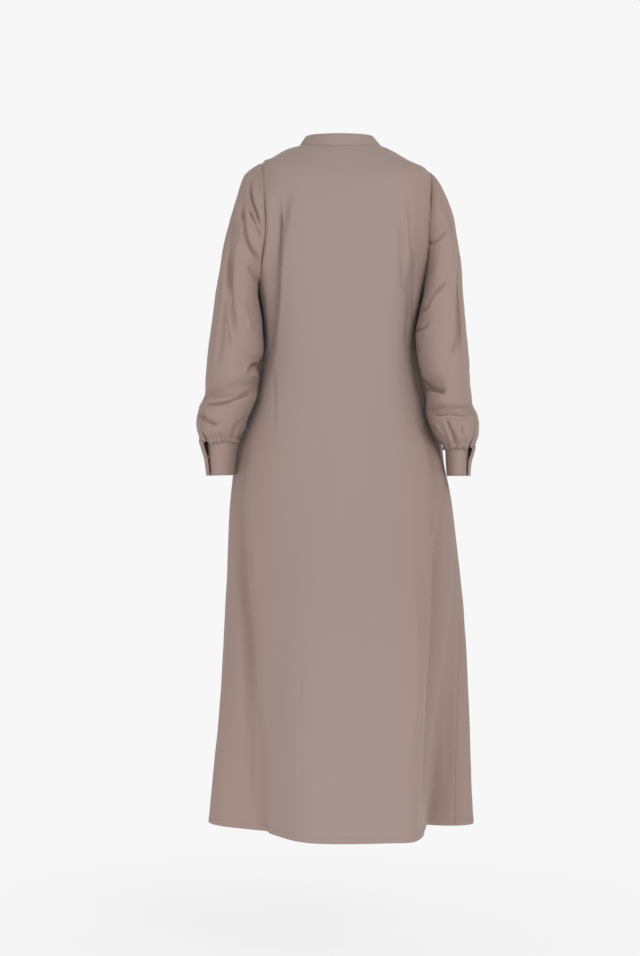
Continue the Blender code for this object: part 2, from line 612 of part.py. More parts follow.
def make_sleeve(side, material):
    """A sleeve: a closed tube down to the top of the slit, and open along the slit below it."""
    columns = np.arange(SLEEVE_COLUMNS_ROUND, dtype=float)
    upper_ring, upper_column = np.meshgrid(np.array(UPPER_SLEEVE_ROWS, float), columns, indexing="ij")
    upper = sleeve_point(side, upper_column, upper_ring)
    upper_normals = sleeve_normal(side, upper_column, upper_ring)
    upper_normals[0] = ARMHOLE_NORMALS[side]
    upper[0] = pull_edge(upper[0], upper_normals[0], upper[1], SEAM_GAP / 2, closed=True)

    fine = SLIT_COLUMN + np.arange(2 * SLEEVE_COLUMNS_ROUND + 1) / 2
    lower_ring, lower_column = np.meshgrid(np.array(LOWER_SLEEVE_ROWS, float), fine, indexing="ij")
    lower = sleeve_point(side, lower_column, lower_ring)
    lower_normals = sleeve_normal(side, lower_column, lower_ring)
    lower_normals[-1] = unit(lower_normals[-1] * [1, 1, 0])
    lower[-1, :, 2] += SEAM_GAP
    opened = np.linspace(0.3, 1, len(lower))[:, None]
    stepped = np.linspace(0, 1, len(lower))[:, None]
    lower[:, 0] += unit(lower[:, 1] - lower[:, 0]) * opened * SLIT_OPENING / 2
    lower[:, -1] += unit(lower[:, -2] - lower[:, -1]) * opened * SLIT_OPENING / 2
    lower[:, -1] += lower_normals[:, -1] * stepped * SLIT_STEP
    lower[:, -2] += lower_normals[:, -2] * stepped * SLIT_STEP / 2
    down_puff = smooth_step((lower_ring - FLARE_START_RING) / (lower_ring[-1, 0] - FLARE_START_RING))
    lower += flare(side, lower_column * 360 / SLEEVE_COLUMNS_ROUND) * down_puff[..., None]

    cut = UPPER_SLEEVE_ROWS.index(SLEEVE_CUT_RING)
    end_above, end_below = (
        pull_edge(upper[cut], upper_normals[cut], upper[beside], SEAM_GAP / 2, closed=True)
        for beside in (cut - 1, cut + 1)
    )
    tube = np.concatenate([upper[:cut], [end_above]])
    faces = tube_faces(len(tube))
    make_wall(f"sleeve_{side}_upper", tube, upper_normals[: cut + 1], faces, CLOTH, material)

    tube = np.concatenate([[end_below], upper[cut + 1 :]])
    around, last = SLEEVE_COLUMNS_ROUND, (len(tube) - 1) * SLEEVE_COLUMNS_ROUND
    faces = tube_faces(len(tube))
    start = len(tube) * around
    for c in range(around):
        here = last + (SLIT_COLUMN + c) % around
        beside = last + (SLIT_COLUMN + c + 1) % around
        below = start + 2 * c
        faces += [(here, below, below + 1), (here, below + 1, beside), (beside, below + 1, below + 2)]
    faces += grid_faces(*lower_ring.shape, start)
    points = np.concatenate([tube.reshape(-1, 3), lower.reshape(-1, 3)])
    normals = np.concatenate([upper_normals[cut:].reshape(-1, 3), lower_normals.reshape(-1, 3)])
    make_wall(f"sleeve_{side}_lower", points, normals, faces, CLOTH, material)


def cuff_point(side, turn, down):
    """A point of a cuff's mid surface: turn in degrees from the outer side over the back, down 0 to 1."""
    top, out = oval(side, turn * SLEEVE_COLUMNS_ROUND / 360, np.full_like(turn, len(SLEEVES[side]["mid_y"]) - 1.0))
    flat_out = unit(out * [1, 1, 0])
    before_end = smooth_step((turn - (CUFF_OVER_ANGLE - 60)) / 40)
    after_start = 1 - smooth_step((turn - CUFF_UNDER_ANGLE - 20) / 40)
    lap = (BAND_CLOTH + LAYER_GAP) * (0.55 * before_end - 0.55 * after_start)
    inward = CUFF_TAPER[side] * down - lap
    drop = np.stack([0 * turn, 0 * turn, -CUFF_HEIGHT[side] * down], -1)
    share = spline(np.array(FLARE_DOWN), down * (len(FLARE_DOWN) - 1))
    return top - flat_out * inward[..., None] + drop + flare(side, turn) * share[..., None]


def cuff_normal(side, turn, down):
    def surface(u, v):
        return cuff_point(side, u, v)

    return -SIDES[side] * slope_normal(surface, turn, down, 0.5, 0.01)


def make_cuff(side, material):
    """A cuff whose front end laps over its back end at the slit."""
    turn = np.linspace(CUFF_UNDER_ANGLE, CUFF_OVER_ANGLE, CUFF_STEPS + 1)[None, :]
    turn, down = np.broadcast_arrays(turn, np.linspace(0, 1, CUFF_ROWS)[:, None])
    points = cuff_point(side, turn, down)
    return make_wall(
        f"cuff_{side}", points, cuff_normal(side, turn, down), grid_faces(*turn.shape), BAND_CLOTH, material
    )


# Buttons


def make_button_mesh(material):
    """A flat round button with a raised rim and a dished middle, lying in the XY plane."""
    mesh = bpy.data.meshes.new("button")
    shape = bmesh.new()
    bmesh.ops.create_cone(
        shape,
        cap_ends=True,
        segments=BUTTON_SIDES,
        radius1=BUTTON_RADIUS,
        radius2=BUTTON_RADIUS,
        depth=BUTTON_THICKNESS,
    )
    top = max(shape.faces, key=lambda face: face.calc_center_median().z)
    bmesh.ops.inset_individual(shape, faces=[top], thickness=BUTTON_RADIUS * 0.22, depth=0)
    bmesh.ops.inset_individual(shape, faces=[top], thickness=BUTTON_RADIUS * 0.12, depth=-BUTTON_RIM)
    shape.to_mesh(mesh)
    shape.free()
    mesh.materials.append(material)
    return mesh


def place_button(name, mesh, point, normal, gap):
    """Puts a button's back on a wall, its face along the wall's normal."""
    obj = add_object(name, mesh)
    z = np.array(normal, float)
    x = unit(np.cross([0.0, 0.0, 1.0], z))
    y = np.cross(z, x)
    centre = np.array(point, float) + z * (gap + BUTTON_THICKNESS / 2)
    matrix = np.eye(4)
    matrix[:3, 0], matrix[:3, 1], matrix[:3, 2], matrix[:3, 3] = x, y, z, centre
    obj.matrix_world = Matrix(matrix.tolist())
    return obj


def make_buttons(material):
    mesh = make_button_mesh(material)
    rings = np.linspace(0, len(BODY["z_back"]) - 1.0, 600)
    heights = body_point(180.0, rings)[:, 2]
    on_placket = CLOTH + LAYER_GAP + CLOTH / 2 + LAYER_GAP
    for i in range(FRONT_BUTTONS):
        z = heights[0] - FIRST_BUTTON_BELOW_NECK - i * BUTTON_SPACING
        ring = np.interp(-z, -heights, rings)
        place_button(
            f"button_front_{i + 1}", mesh, body_point(180.0, ring), body_normal(180.0, ring), on_placket
        )
    front = np.array([-180.0])
    on_collar = collar_point(front, 0.5) + neck_normal(front) * collar_shift(front)[:, None]
    place_button(
        "button_collar", mesh, on_collar[0], collar_normal(front)[0], BAND_CLOTH / 2 + LAYER_GAP
    )
    for side in SIDES:
        turn, down = np.array([CUFF_BUTTON_ANGLE]), np.array([CUFF_BUTTON_DOWN])
        place_button(
            f"button_cuff_{side}",
            mesh,
            cuff_point(side, turn, down)[0],
            cuff_normal(side, turn, down)[0],
            BAND_CLOTH / 2 + LAYER_GAP,
        )


def make_material(name, colour, roughness):
    material = bpy.data.materials.new(name)
    material.use_nodes = True
    shader = material.node_tree.nodes["Principled BSDF"]
    shader.inputs["Base Color"].default_value = colour
    shader.inputs["Roughness"].default_value = roughness
    shader.inputs["Metallic"].default_value = 0.0
    return material


def main():
    for obj in list(bpy.data.objects):
        bpy.data.objects.remove(obj)
    bpy.context.scene.collection.children.link(bpy.data.collections.new("abaya"))
    cloth = make_material("cloth", CLOTH_COLOUR, 0.75)
    horn = make_material("button", BUTTON_COLOUR, 0.4)
    make_back(cloth)
    make_fronts(cloth)
    for side in SIDES:
        make_sleeve(side, cloth)
        make_cuff(side, cloth)
    make_placket(cloth)
    make_collar(cloth)
    make_buttons(horn)


main()
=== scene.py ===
"""Sews a long abaya on its fixed frame: back, two fronts, a buttoned band, a band collar, and full
sleeves gathered into undone cuffs, with their buttons and stitching, on a pale studio floor.

Metres, +Z up. The wearer faces -Y, and +X is the wearer's left. Tables of creases are in
millimetres where their names say so.
"""

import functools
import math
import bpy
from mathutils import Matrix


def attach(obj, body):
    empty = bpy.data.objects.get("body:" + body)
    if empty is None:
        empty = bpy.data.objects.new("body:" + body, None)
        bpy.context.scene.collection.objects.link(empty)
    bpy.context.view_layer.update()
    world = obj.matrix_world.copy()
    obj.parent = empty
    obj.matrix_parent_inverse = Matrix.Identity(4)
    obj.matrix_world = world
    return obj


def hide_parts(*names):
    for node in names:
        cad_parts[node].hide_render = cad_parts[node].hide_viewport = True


bl_info = {
    "name": "Abaya cloak",
    "version": (1, 0, 0),
    "blender": (4, 5, 0),
    "location": "3D View > Sidebar > Abaya",
    "description": "Sews a worn abaya cloak with its buttons, stitching and studio",
    "category": "Add Mesh",
}

import bmesh
import bpy
import numpy as np
from bpy.props import FloatProperty, FloatVectorProperty, IntProperty, PointerProperty
from mathutils import Matrix, Vector
from mathutils.kdtree import KDTree

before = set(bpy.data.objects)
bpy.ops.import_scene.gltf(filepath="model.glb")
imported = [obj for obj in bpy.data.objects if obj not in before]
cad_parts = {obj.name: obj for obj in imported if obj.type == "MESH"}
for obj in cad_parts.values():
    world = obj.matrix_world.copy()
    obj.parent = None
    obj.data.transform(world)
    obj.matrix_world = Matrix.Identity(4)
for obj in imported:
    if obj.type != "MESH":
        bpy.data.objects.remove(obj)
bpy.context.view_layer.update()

# The garment's shape, as in its CAD source

LAP = 0.0155  # half the width of the front lap
LAYER_GAP = 0.0004
CAD_CLOTH = 0.0018
CAD_BAND_CLOTH = 0.0024
SHOULDER_RING, UNDERARM_RING = 3, 6

# The body's horizontal rings. A ring's sides are at z_left and z_right, its middles at z_back and
# z_front; left, right, back and front are its reaches from the centre line, and square its corners.
BODY_COLUMNS = (
    "z_left", "z_right", "z_back", "z_front", "left", "right", "back", "front", "square",
)
BODY_RINGS = {
    "neck": (0.000, 0.000, -0.008, -0.074, 0.079, 0.080, 0.060, 0.070, 2.0),
    "yoke_high": (-0.007, -0.009, -0.033, -0.094, 0.104, 0.101, 0.076, 0.086, 2.0),
    "yoke_low": (-0.0232, -0.0265, -0.066, -0.120, 0.136, 0.132, 0.094, 0.102, 2.1),
    "shoulder": (-0.0335, -0.048, -0.108, -0.152, 0.152, 0.172, 0.107, 0.117, 2.3),
    "blade": (-0.100, -0.107, -0.166, -0.196, 0.174, 0.183, 0.115, 0.128, 2.35),
    "armpit": (-0.190, -0.194, -0.224, -0.238, 0.171, 0.180, 0.119, 0.136, 2.35),
    "underarm": (-0.286, -0.286, -0.286, -0.286, 0.158, 0.160, 0.121, 0.139, 2.3),
    "ribs": (-0.370, -0.370, -0.370, -0.370, 0.153, 0.153, 0.121, 0.138, 2.3),
    "waist": (-0.450, -0.450, -0.450, -0.450, 0.159, 0.159, 0.122, 0.137, 2.25),
    "high_hip": (-0.525, -0.525, -0.525, -0.525, 0.178, 0.177, 0.128, 0.141, 2.2),
    "hip": (-0.600, -0.600, -0.600, -0.600, 0.197, 0.196, 0.136, 0.148, 2.15),
    "thigh": (-0.700, -0.700, -0.700, -0.700, 0.2155, 0.2205, 0.146, 0.157, 2.1),
    "knee": (-0.880, -0.880, -0.880, -0.880, 0.224, 0.244, 0.159, 0.170, 2.05),
    "calf": (-1.100, -1.100, -1.102, -1.101, 0.239, 0.259, 0.172, 0.184, 2.0),
    "hem": (-1.325, -1.331, -1.330, -1.330, 0.259, 0.271, 0.184, 0.196, 2.0),
}
# Folds press the body's wall in by depth, and along it by turn, between two heights. An angle is
# measured round the body from the centre back, towards the wearer's left.
FOLD_COLUMNS = (
    "start_z", "full_z", "fade_z", "end_z",
    "start_angle", "end_angle", "back_width", "front_width", "depth", "turn",
)
BODY_FOLDS = {
    "right_back_deep": (-0.62, -1.50, -1.60, -1.70, -80, -80, 45, 19, 0.112, -0.055),
    "right_back_line": (-0.44, -0.62, -1.10, -1.45, -75, -62, 10, 10, 0.011, 0.0),
    "right_back_ridge": (-0.50, -0.90, -1.50, -1.60, -58, -38, 13, 13, -0.007, 0.0),
    "left_back_flat": (-0.60, -1.45, -1.50, -1.60, 68, 66, 54, 30, 0.070, 0.0),
    "left_back_line": (-0.52, -0.66, -1.50, -1.60, 77, 62, 10, 10, 0.010, 0.0),
    "left_blade_line": (-0.07, -0.16, -0.34, -0.47, 47, 68, 10, 10, 0.013, 0.0),
    "right_blade_line": (-0.12, -0.24, -0.34, -0.50, -62, -70, 11, 11, 0.009, 0.0),
    "left_arm_press": (-0.28, -0.40, -0.50, -0.60, 84, 84, 30, 30, 0.010, 0.0),
    "right_arm_press": (-0.28, -0.40, -0.54, -0.60, -78, -72, 30, 26, 0.014, 0.0),
    "left_arm_front": (-0.235, -0.30, -0.565, -0.70, 104, 101, 17, 34, -0.0170, 0.0),
    "right_arm_front": (-0.235, -0.30, -0.565, -0.68, -103, -101, 15, 34, -0.0150, 0.0),
    "left_front_side": (-0.40, -1.15, -1.50, -1.60, 118, 122, 15, 15, 0.034, 0.0),
    "left_front_inner": (-0.24, -1.10, -1.50, -1.60, 148, 152, 12, 12, 0.026, 0.0),
    "right_front_inner": (-0.24, -1.10, -1.50, -1.60, -146, -148, 13, 13, 0.030, 0.0),
    "right_front_side": (-0.46, -1.20, -1.50, -1.60, -120, -123, 13, 13, 0.028, 0.0),
}
ARMHOLE_COLUMNS = ("cut", "upper_curve", "lower_curve")
ARMHOLES = {
    ("left", "back"): (28.5, 0.45, 0.48),
    ("left", "front"): (27, 0.70, 0.70),
    ("right", "back"): (15, 0.70, 0.70),
    ("right", "front"): (27, 0.70, 0.70),
}

# Sleeve rings run from the armhole to the cuff. Each is an oval between an outer and an inner point
# of the arm's silhouette, with its own middle and half depth front to back.
SLEEVE_COLUMNS = ("outer_x", "outer_z", "inner_x", "inner_z", "mid_y", "half_depth", "square")
SLEEVE_RINGS = {
    "left": {
        "armhole": (0.152, -0.030, 0.158, -0.286, 0.000, 0.068, 2.1),
        "cap": (0.185, -0.053, 0.161, -0.293, 0.002, 0.072, 2.1),
        "upper_high": (0.199, -0.096, 0.161, -0.303, 0.006, 0.073, 2.1),
        "upper_low": (0.2135, -0.143, 0.156, -0.316, 0.012, 0.072, 2.1),
        "bicep": (0.2295, -0.2215, 0.152, -0.340, 0.022, 0.069, 2.1),
        "mid": (0.242, -0.300, 0.150, -0.372, 0.033, 0.066, 2.1),
        "elbow_high": (0.252, -0.372, 0.150, -0.404, 0.040, 0.064, 2.1),
        "elbow_low": (0.257, -0.420, 0.160, -0.433, 0.043, 0.063, 2.1),
        "forearm": (0.2595, -0.455, 0.157, -0.459, 0.043, 0.062, 2.1),
        "crease": (0.262, -0.486, 0.161, -0.491, 0.042, 0.059, 2.1),
        "puff_high": (0.272, -0.508, 0.170, -0.512, 0.041, 0.060, 2.2),
        "puff_mid": (0.278, -0.533, 0.182, -0.536, 0.038, 0.059, 2.2),
        "puff_low": (0.276, -0.558, 0.194, -0.559, 0.035, 0.054, 2.1),
        "gather": (0.266, -0.572, 0.200, -0.571, 0.032, 0.044, 2.0),
        "cuff": (0.2595, -0.578, 0.2025, -0.577, 0.030, 0.0385, 2.0),
    },
    "right": {
        "armhole": (0.172, -0.047, 0.160, -0.286, 0.000, 0.068, 2.1),
        "cap": (0.190, -0.067, 0.162, -0.293, 0.002, 0.072, 2.1),
        "upper_high": (0.208, -0.104, 0.161, -0.304, 0.006, 0.073, 2.1),
        "upper_low": (0.222, -0.145, 0.157, -0.316, 0.012, 0.072, 2.1),
        "bicep": (0.235, -0.2215, 0.152, -0.340, 0.022, 0.069, 2.1),
        "mid": (0.239, -0.300, 0.147, -0.368, 0.033, 0.066, 2.1),
        "elbow_high": (0.246, -0.378, 0.150, -0.412, 0.040, 0.064, 2.1),
        "elbow_low": (0.250, -0.425, 0.157, -0.445, 0.043, 0.062, 2.1),
        "forearm": (0.251, -0.468, 0.167, -0.474, 0.043, 0.060, 2.1),
        "crease": (0.255, -0.505, 0.169, -0.508, 0.042, 0.056, 2.1),
        "puff_high": (0.264, -0.523, 0.170, -0.527, 0.041, 0.058, 2.2),
        "puff_mid": (0.269, -0.546, 0.175, -0.548, 0.039, 0.057, 2.2),
        "puff_low": (0.266, -0.568, 0.187, -0.570, 0.037, 0.052, 2.1),
        "gather": (0.256, -0.583, 0.201, -0.584, 0.034, 0.044, 2.0),
        "cuff": (0.250, -0.589, 0.2055, -0.589, 0.032, 0.0375, 2.0),
    },
}
SLEEVE_TURN = 24  # columns of the CAD's sleeves, which count the places round them
MEASURED_COLUMNS = (1.0, 6.0, 12.0, 18.0)  # the longest of these sets the sleeve's rows
SLEEVE_BLEND_RINGS = 4.0  # how far the armhole's own outline fades down the sleeve
CREASE_COLUMNS = (
    "start_angle", "end_angle", "start_ring", "end_ring", "half_width", "half_length", "depth",
)
SLEEVE_CREASES = {
    "left": {
        "outer_valley": (52, 60, 2.2, 6.4, 14, 1.2, 0.006),
        "elbow_notch": (155, 195, 6.9, 6.9, 34, 0.7, 0.0045),
        "above_puff": (20, 165, 9.3, 8.3, 30, 0.8, 0.010),
        "front_elbow": (255, 300, 6.5, 7.0, 40, 1.1, 0.010),
    },
    "right": {
        "outer_valley": (42, 50, 2.0, 6.0, 13, 1.2, 0.006),
        "elbow_notch": (125, 185, 8.0, 7.8, 34, 0.8, 0.0080),
        "above_puff": (30, 150, 9.7, 9.5, 30, 0.7, 0.009),
        "front_elbow": (250, 300, 6.3, 6.8, 40, 1.1, 0.010),
    },
}
GATHER_START_RING, GATHER_FULL_RING = 10.0, 13.0
SLIT_COLUMN = 2
SLIT_TOP_RING = 9.0
SLIT_OPENING = 0.0035
SLIT_LAP, SLIT_LAP_REACH = 0.8, 1.0  # of the slit's front edge over its back edge, in columns
SLIT_STEP = 0.0030  # the front edge of the slit stands out over the back edge

COLLAR_HEIGHT_BACK, COLLAR_HEIGHT_SIDE, COLLAR_HEIGHT_FRONT = 0.0250, 0.0185, 0.0240
COLLAR_LEAN_MIDDLE, COLLAR_LEAN_LEFT, COLLAR_LEAN_RIGHT = 0.004, 0.012, 0.0155
COLLAR_OVER_SHARE = 0.66
COLLAR_LAP_START_ANGLE, COLLAR_LAP_FADE = 130, 35
COLLAR_UP = 0.0235  # the height of its wall in cloth, at the back
COLLAR_BELOW_SEAM = 0.03  # how far it starts below its seam, as a share of its height

CUFF_HEIGHT = {"left": 0.0665, "right": 0.056}
CUFF_TAPER = {"left": 0.0060, "right": 0.0030}
CUFF_UNDER_ANGLE, CUFF_OVER_ANGLE = 8.0, 394.0
CUFF_LAP_ANGLE = 9.0  # how much further the over end runs in cloth
CUFF_LAP_SHARE, CUFF_LAP_FADE = 0.55, 40
CUFF_OVER_FADE, CUFF_UNDER_FADE = 60, 20  # where the laps fade, in degrees from the cuff's ends
FLARE = {"left": 0.016, "right": 0.0135}
FLARE_DOWN = (0.82, 0.60, 0.34, 0.28, 0.30)
FLARE_START_ANGLE, FLARE_FULL_ANGLE = 325, 375
FLARE_START_RING = 12.0

BUTTON_RADIUS, BUTTON_THICKNESS = 0.0058, 0.0026
HOLE_SIDES, HOLE_CUTTER_LENGTH = 14, 0.006
FRONT_BUTTONS = 9
FIRST_BUTTON_BELOW_NECK, BUTTON_SPACING = 0.085, 0.110
UNDERLAP_COLUMNS, UNDERLAP_INSET, FRONT_UNDER_BAND = 7, 0.003, 0.004
THINNEST_EDGE = 0.05  # of a wall's half thickness
SLIT_BINDING, SLIT_BINDING_FADE, SLIT_BOUND = 0.004, 0.002, 0.6
SLIT_START, SLIT_HELD = 0.15, 0.85
BLOUSE_MEAN, BLOUSE_UNEVEN = 0.75, 0.35
BLOUSE_RIPPLES, BLOUSE_RIPPLE = 37, 0.30
BLOUSE_SLIT_ANGLE, BLOUSE_SLIT_FADE = 4, 14
CUFF_BUTTON_ANGLE, CUFF_BUTTON_DOWN = 22.0, 0.45

# Insets of a button's top, as shares of its radius, and how deep each goes
BUTTON_TOP = ((0.14, 0.0), (0.12, -0.0004), (0.16, -0.0003))
BUTTON_ROUNDING = 0.0004
THREAD_BARS = ((0.0003, 0.0), (0.0006, math.pi / 2))  # heights over the middle, and turns
BAR_RADIUS, BAR_ROUNDING, BAR_OVERHANG = 0.00032, 0.00018, 0.0006
SHANK_RADIUS, SHANK_LENGTH, SHANK_HEIGHT = 0.0015, 0.0012, -0.0018

SIDES = {"left": 1.0, "right": -1.0}
BODY_SECTIONS = ("bodice", "hips", "skirt")
SLEEVE_SECTIONS = ("upper", "lower")
STEP_ANGLE, STEP_RING = 0.05, 0.002  # for measuring a surface's slope
CUFF_STEP_ANGLE, CUFF_STEP_DOWN = 0.5, 0.01

# Creases of the cloth: half width, depth and lip in millimetres, then the crease's line as (x, z)
# in metres. A depth below 0 is a ridge. The lip is raised on the left of the line's way, or on its
# right where it is below 0.
BACK_CREASES_MM = (
    (3.5, 3.4, -1.2, ((0.123, -0.097), (0.113, -0.142), (0.112, -0.184), (0.114, -0.239),
                      (0.119, -0.320), (0.124, -0.360), (0.136, -0.405), (0.147, -0.427))),
    (3.0, 1.5, -0.6, ((0.127, -0.440), (0.125, -0.500), (0.128, -0.560))),
    (10.0, 3.0, 0.8, ((-0.117, -0.150), (-0.120, -0.234), (-0.127, -0.310))),
    (4.0, 1.6, 0.6, ((-0.141, -0.210), (-0.142, -0.310))),
    (4.0, 2.0, 0.8, ((-0.124, -0.078), (-0.135, -0.193), (-0.141, -0.305), (-0.140, -0.380))),
    (13.0, 5.6, -1.6, ((0.191, -0.620), (0.187, -0.826), (0.174, -0.955), (0.174, -1.083),
                       (0.174, -1.245), (0.151, -1.330))),
    (10.0, -4.0, 0.0, ((-0.136, -0.820), (-0.143, -1.036), (-0.130, -1.135), (-0.107, -1.240))),
    (6.5, 4.8, 1.9, ((-0.175, -0.600), (-0.177, -0.792), (-0.175, -0.927), (-0.166, -1.082),
                     (-0.156, -1.235), (-0.150, -1.340))),
    (6.5, 2.8, 1.1, ((-0.203, -0.640), (-0.182, -0.812), (-0.175, -0.927))),
    (6.5, 2.2, 0.9, ((-0.196, -0.560), (-0.206, -0.650), (-0.210, -0.730), (-0.196, -0.888))),
    (9.0, 0.8, 0.3, ((-0.211, -1.050), (-0.212, -1.275))),
    (3.0, 1.0, 0.4, ((0.077, -0.980), (0.077, -1.280))),
)
FRONT_CREASES_MM = (
    (5.0, 2.6, 1.0, ((0.128, -0.205), (0.108, -0.246), (0.082, -0.280))),
    (5.0, 2.4, -1.0, ((-0.130, -0.215), (-0.110, -0.250), (-0.086, -0.286))),
    (13.0, 3.5, 1.0, ((0.070, -0.290), (0.082, -0.430), (0.098, -0.640))),
    (12.0, 3.0, -1.0, ((-0.072, -0.300), (-0.080, -0.440), (-0.100, -0.660))),
    (6.0, 2.2, 0.8, ((0.116, -0.330), (0.112, -0.420), (0.128, -0.540))),
    (6.0, 2.2, -0.8, ((-0.114, -0.340), (-0.112, -0.430), (-0.130, -0.560))),
)
SLEEVE_BACK_CREASES_MM = {
    "left": (
        (3.0, 4.0, 1.6, ((0.175, -0.062), (0.172, -0.108), (0.161, -0.142), (0.149, -0.184))),
        (3.0, 3.0, 1.0, ((0.178, -0.130), (0.161, -0.165), (0.151, -0.194))),
        (4.0, 4.0, 1.4, ((0.190, -0.105), (0.187, -0.155), (0.180, -0.191), (0.167, -0.217),
                         (0.148, -0.240))),
        (5.0, 2.2, 0.6, ((0.177, -0.240), (0.164, -0.265), (0.154, -0.282))),
        (2.5, 2.0, 0.8, ((0.157, -0.050), (0.154, -0.104))),
        (6.0, 4.5, 1.2, ((0.204, -0.100), (0.210, -0.170), (0.214, -0.210), (0.212, -0.289),
                         (0.204, -0.353), (0.200, -0.380))),
        (3.0, 2.0, 0.6, ((0.218, -0.343), (0.211, -0.400))),
        (6.0, -1.6, 0.0, ((0.192, -0.310), (0.168, -0.370))),
        (4.0, 4.0, 1.5, ((0.156, -0.426), (0.171, -0.435), (0.176, -0.452))),
        (4.0, 4.6, -1.6, ((0.272, -0.506), (0.245, -0.507), (0.220, -0.505), (0.196, -0.494),
                          (0.177, -0.485), (0.160, -0.480))),
        (6.0, 5.0, -1.4, ((0.278, -0.512), (0.265, -0.530), (0.253, -0.540), (0.242, -0.545),
                          (0.224, -0.551))),
        (3.0, 3.0, 1.0, ((0.208, -0.568), (0.201, -0.558), (0.193, -0.545), (0.180, -0.528))),
    ),
    "right": (
        (3.5, 3.0, 1.2, ((-0.166, -0.196), (-0.180, -0.196), (-0.193, -0.186), (-0.210, -0.166))),
        (4.0, 3.5, 1.2, ((-0.150, -0.331), (-0.164, -0.324), (-0.175, -0.302), (-0.192, -0.284),
                         (-0.206, -0.266))),
        (4.0, 3.0, 1.0, ((-0.143, -0.366), (-0.157, -0.363), (-0.171, -0.354))),
        (5.0, -2.0, 0.0, ((-0.214, -0.140), (-0.212, -0.240))),
        (6.0, 4.2, 1.2, ((-0.205, -0.100), (-0.222, -0.165), (-0.229, -0.208), (-0.226, -0.293),
                         (-0.224, -0.372), (-0.215, -0.409), (-0.206, -0.432))),
        (5.0, 5.5, 1.5, ((-0.160, -0.464), (-0.176, -0.477), (-0.187, -0.482), (-0.203, -0.486))),
        (4.0, 4.6, 1.6, ((-0.166, -0.530), (-0.188, -0.527), (-0.213, -0.525), (-0.235, -0.528),
                         (-0.258, -0.522))),
        (3.0, 3.6, 1.2, ((-0.200, -0.534), (-0.212, -0.561), (-0.225, -0.592))),
        (3.0, 3.6, -1.2, ((-0.171, -0.542), (-0.185, -0.556), (-0.196, -0.574))),
        (2.0, 1.6, 0.5, ((-0.231, -0.548), (-0.235, -0.570))),
    ),
}
SLEEVE_FRONT_CREASES_MM = {
    side: (
        (4.0, 3.4, 1.2, ((sign * 0.176, -0.085), (sign * 0.168, -0.140), (sign * 0.152, -0.196))),
        (4.0, 2.8, 1.0, ((sign * 0.192, -0.140), (sign * 0.176, -0.200), (sign * 0.156, -0.240))),
        (5.0, 3.6, 1.2, ((sign * 0.158, -0.360), (sign * 0.184, -0.384), (sign * 0.226, -0.388))),
        (5.0, 4.2, 1.4, ((sign * 0.160, -0.424), (sign * 0.190, -0.414), (sign * 0.232, -0.404))),
        (4.0, 3.0, 1.0, ((sign * 0.168, -0.460), (sign * 0.196, -0.452), (sign * 0.240, -0.462))),
        (4.0, 4.4, -1.4, ((sign * 0.172, -0.500), (sign * 0.210, -0.508), (sign * 0.262, -0.500))),
        (4.0, 3.0, 1.0, ((sign * 0.200, -0.575), (sign * 0.204, -0.548), (sign * 0.196, -0.522))),
    )
    for side, sign in SIDES.items()
}

CREASE_WIDTH_SHARE, CREASE_REACH = 0.85, 4  # of a table's widths, and in those widths
CREASE_FADE_IN, CREASE_FADE_OUT = 0.22, 0.28  # as shares of its length
GROOVE_WIDTHS = (0.8, 1.3)  # on the lip's side and on the other
LIP_PLACE, LIP_WIDTH = 2.0, 1.1
CREASE_LINE_POINTS = 90
FACING_MARGIN, FACING_FADE = 0.12, 0.40  # how far round a table of creases reaches

# Where the shoulders' cloth sinks a little beside the armholes' tops, and how far
SHOULDER_DIPS = (((0.145, 0.014, -0.026), 0.0055), ((-0.164, 0.016, -0.044), 0.0060))

# Where the sleeves' cloth bulges: the middle, the reach and the height
SLEEVE_BULGES = {
    "left": (((0.189, 0.036, -0.553), 0.014, 0.0050), ((0.158, 0.045, -0.250), 0.030, 0.0030)),
    "right": (((-0.176, 0.040, -0.520), 0.016, 0.0020),),
}

# Sizes of the cloth and its seams

FINE_START = (0.0, 0.0007, 0.0015, 0.0026, 0.0042, 0.0064)  # rows beside a seam
FINE_HEM = (
    0.0, 0.0012, 0.0026, 0.0044, 0.0062, 0.0080, 0.0090, 0.0098, 0.0106, 0.0116, 0.0128, 0.0150,
)
FINE_GATHERS = (0.0, 0.0010, 0.0022, 0.0036, 0.0050, 0.0066, 0.0084, 0.0105, 0.0130, 0.0160)
ROUND_EDGE = (0.0, 0.0001, 0.0003, 0.0006, 0.0011, 0.0018, 0.0024, 0.0030, 0.0036, 0.0045)
YOKE_STEP, ROW_STEP_SHARE = 0.0046, 1.12  # of the body's rows: at the yoke, and over its step below
PLACKET_STEPS, COLLAR_STEPS, CUFF_STEPS = (0.0035, 0.0045), (0.0032, 0.0026), (0.0026, 0.0028)
ARMHOLE_STEPS = 60
SLEEVE_STEPS = 96  # of half a sleeve, round it
SEAM_GROOVE_DEPTH, SEAM_GROOVE_WIDTH = 0.0009, 0.0014
HEM_WIDTH = 0.011
HEM_FOLD_RADIUS, HEM_FOLD_ROWS, HEM_FOLD_GAP = 0.0008, 7, 0.0002
HEM_RING_LENGTH = 0.226  # of the body's last ring
CUFF_SEAM_DOWN = 0.03  # where the sleeve's end lies in the cuff, as a share of its height
PLACKET_RAISED = 0.0018  # its middle over the fronts' middle
PLACKET_BELOW_COLLAR = 0.0022
HEM_STITCH_INSET = 0.0012  # of the hem's line of stitches, from the hem's upper edge
STITCH_INSET, STITCH_END_GAP = 0.0030, 0.004  # of a band's stitches, from its edges and its ends
STITCH_PULL, STITCH_PULL_WIDTH = 0.00035, 0.0007
STITCH_PROFILE = ((1, 0), (0, 1), (-1, 0), (0, -0.6))  # across the thread, in its radius
STITCH_TAPER = 0.16  # of a stitch's length, at each end
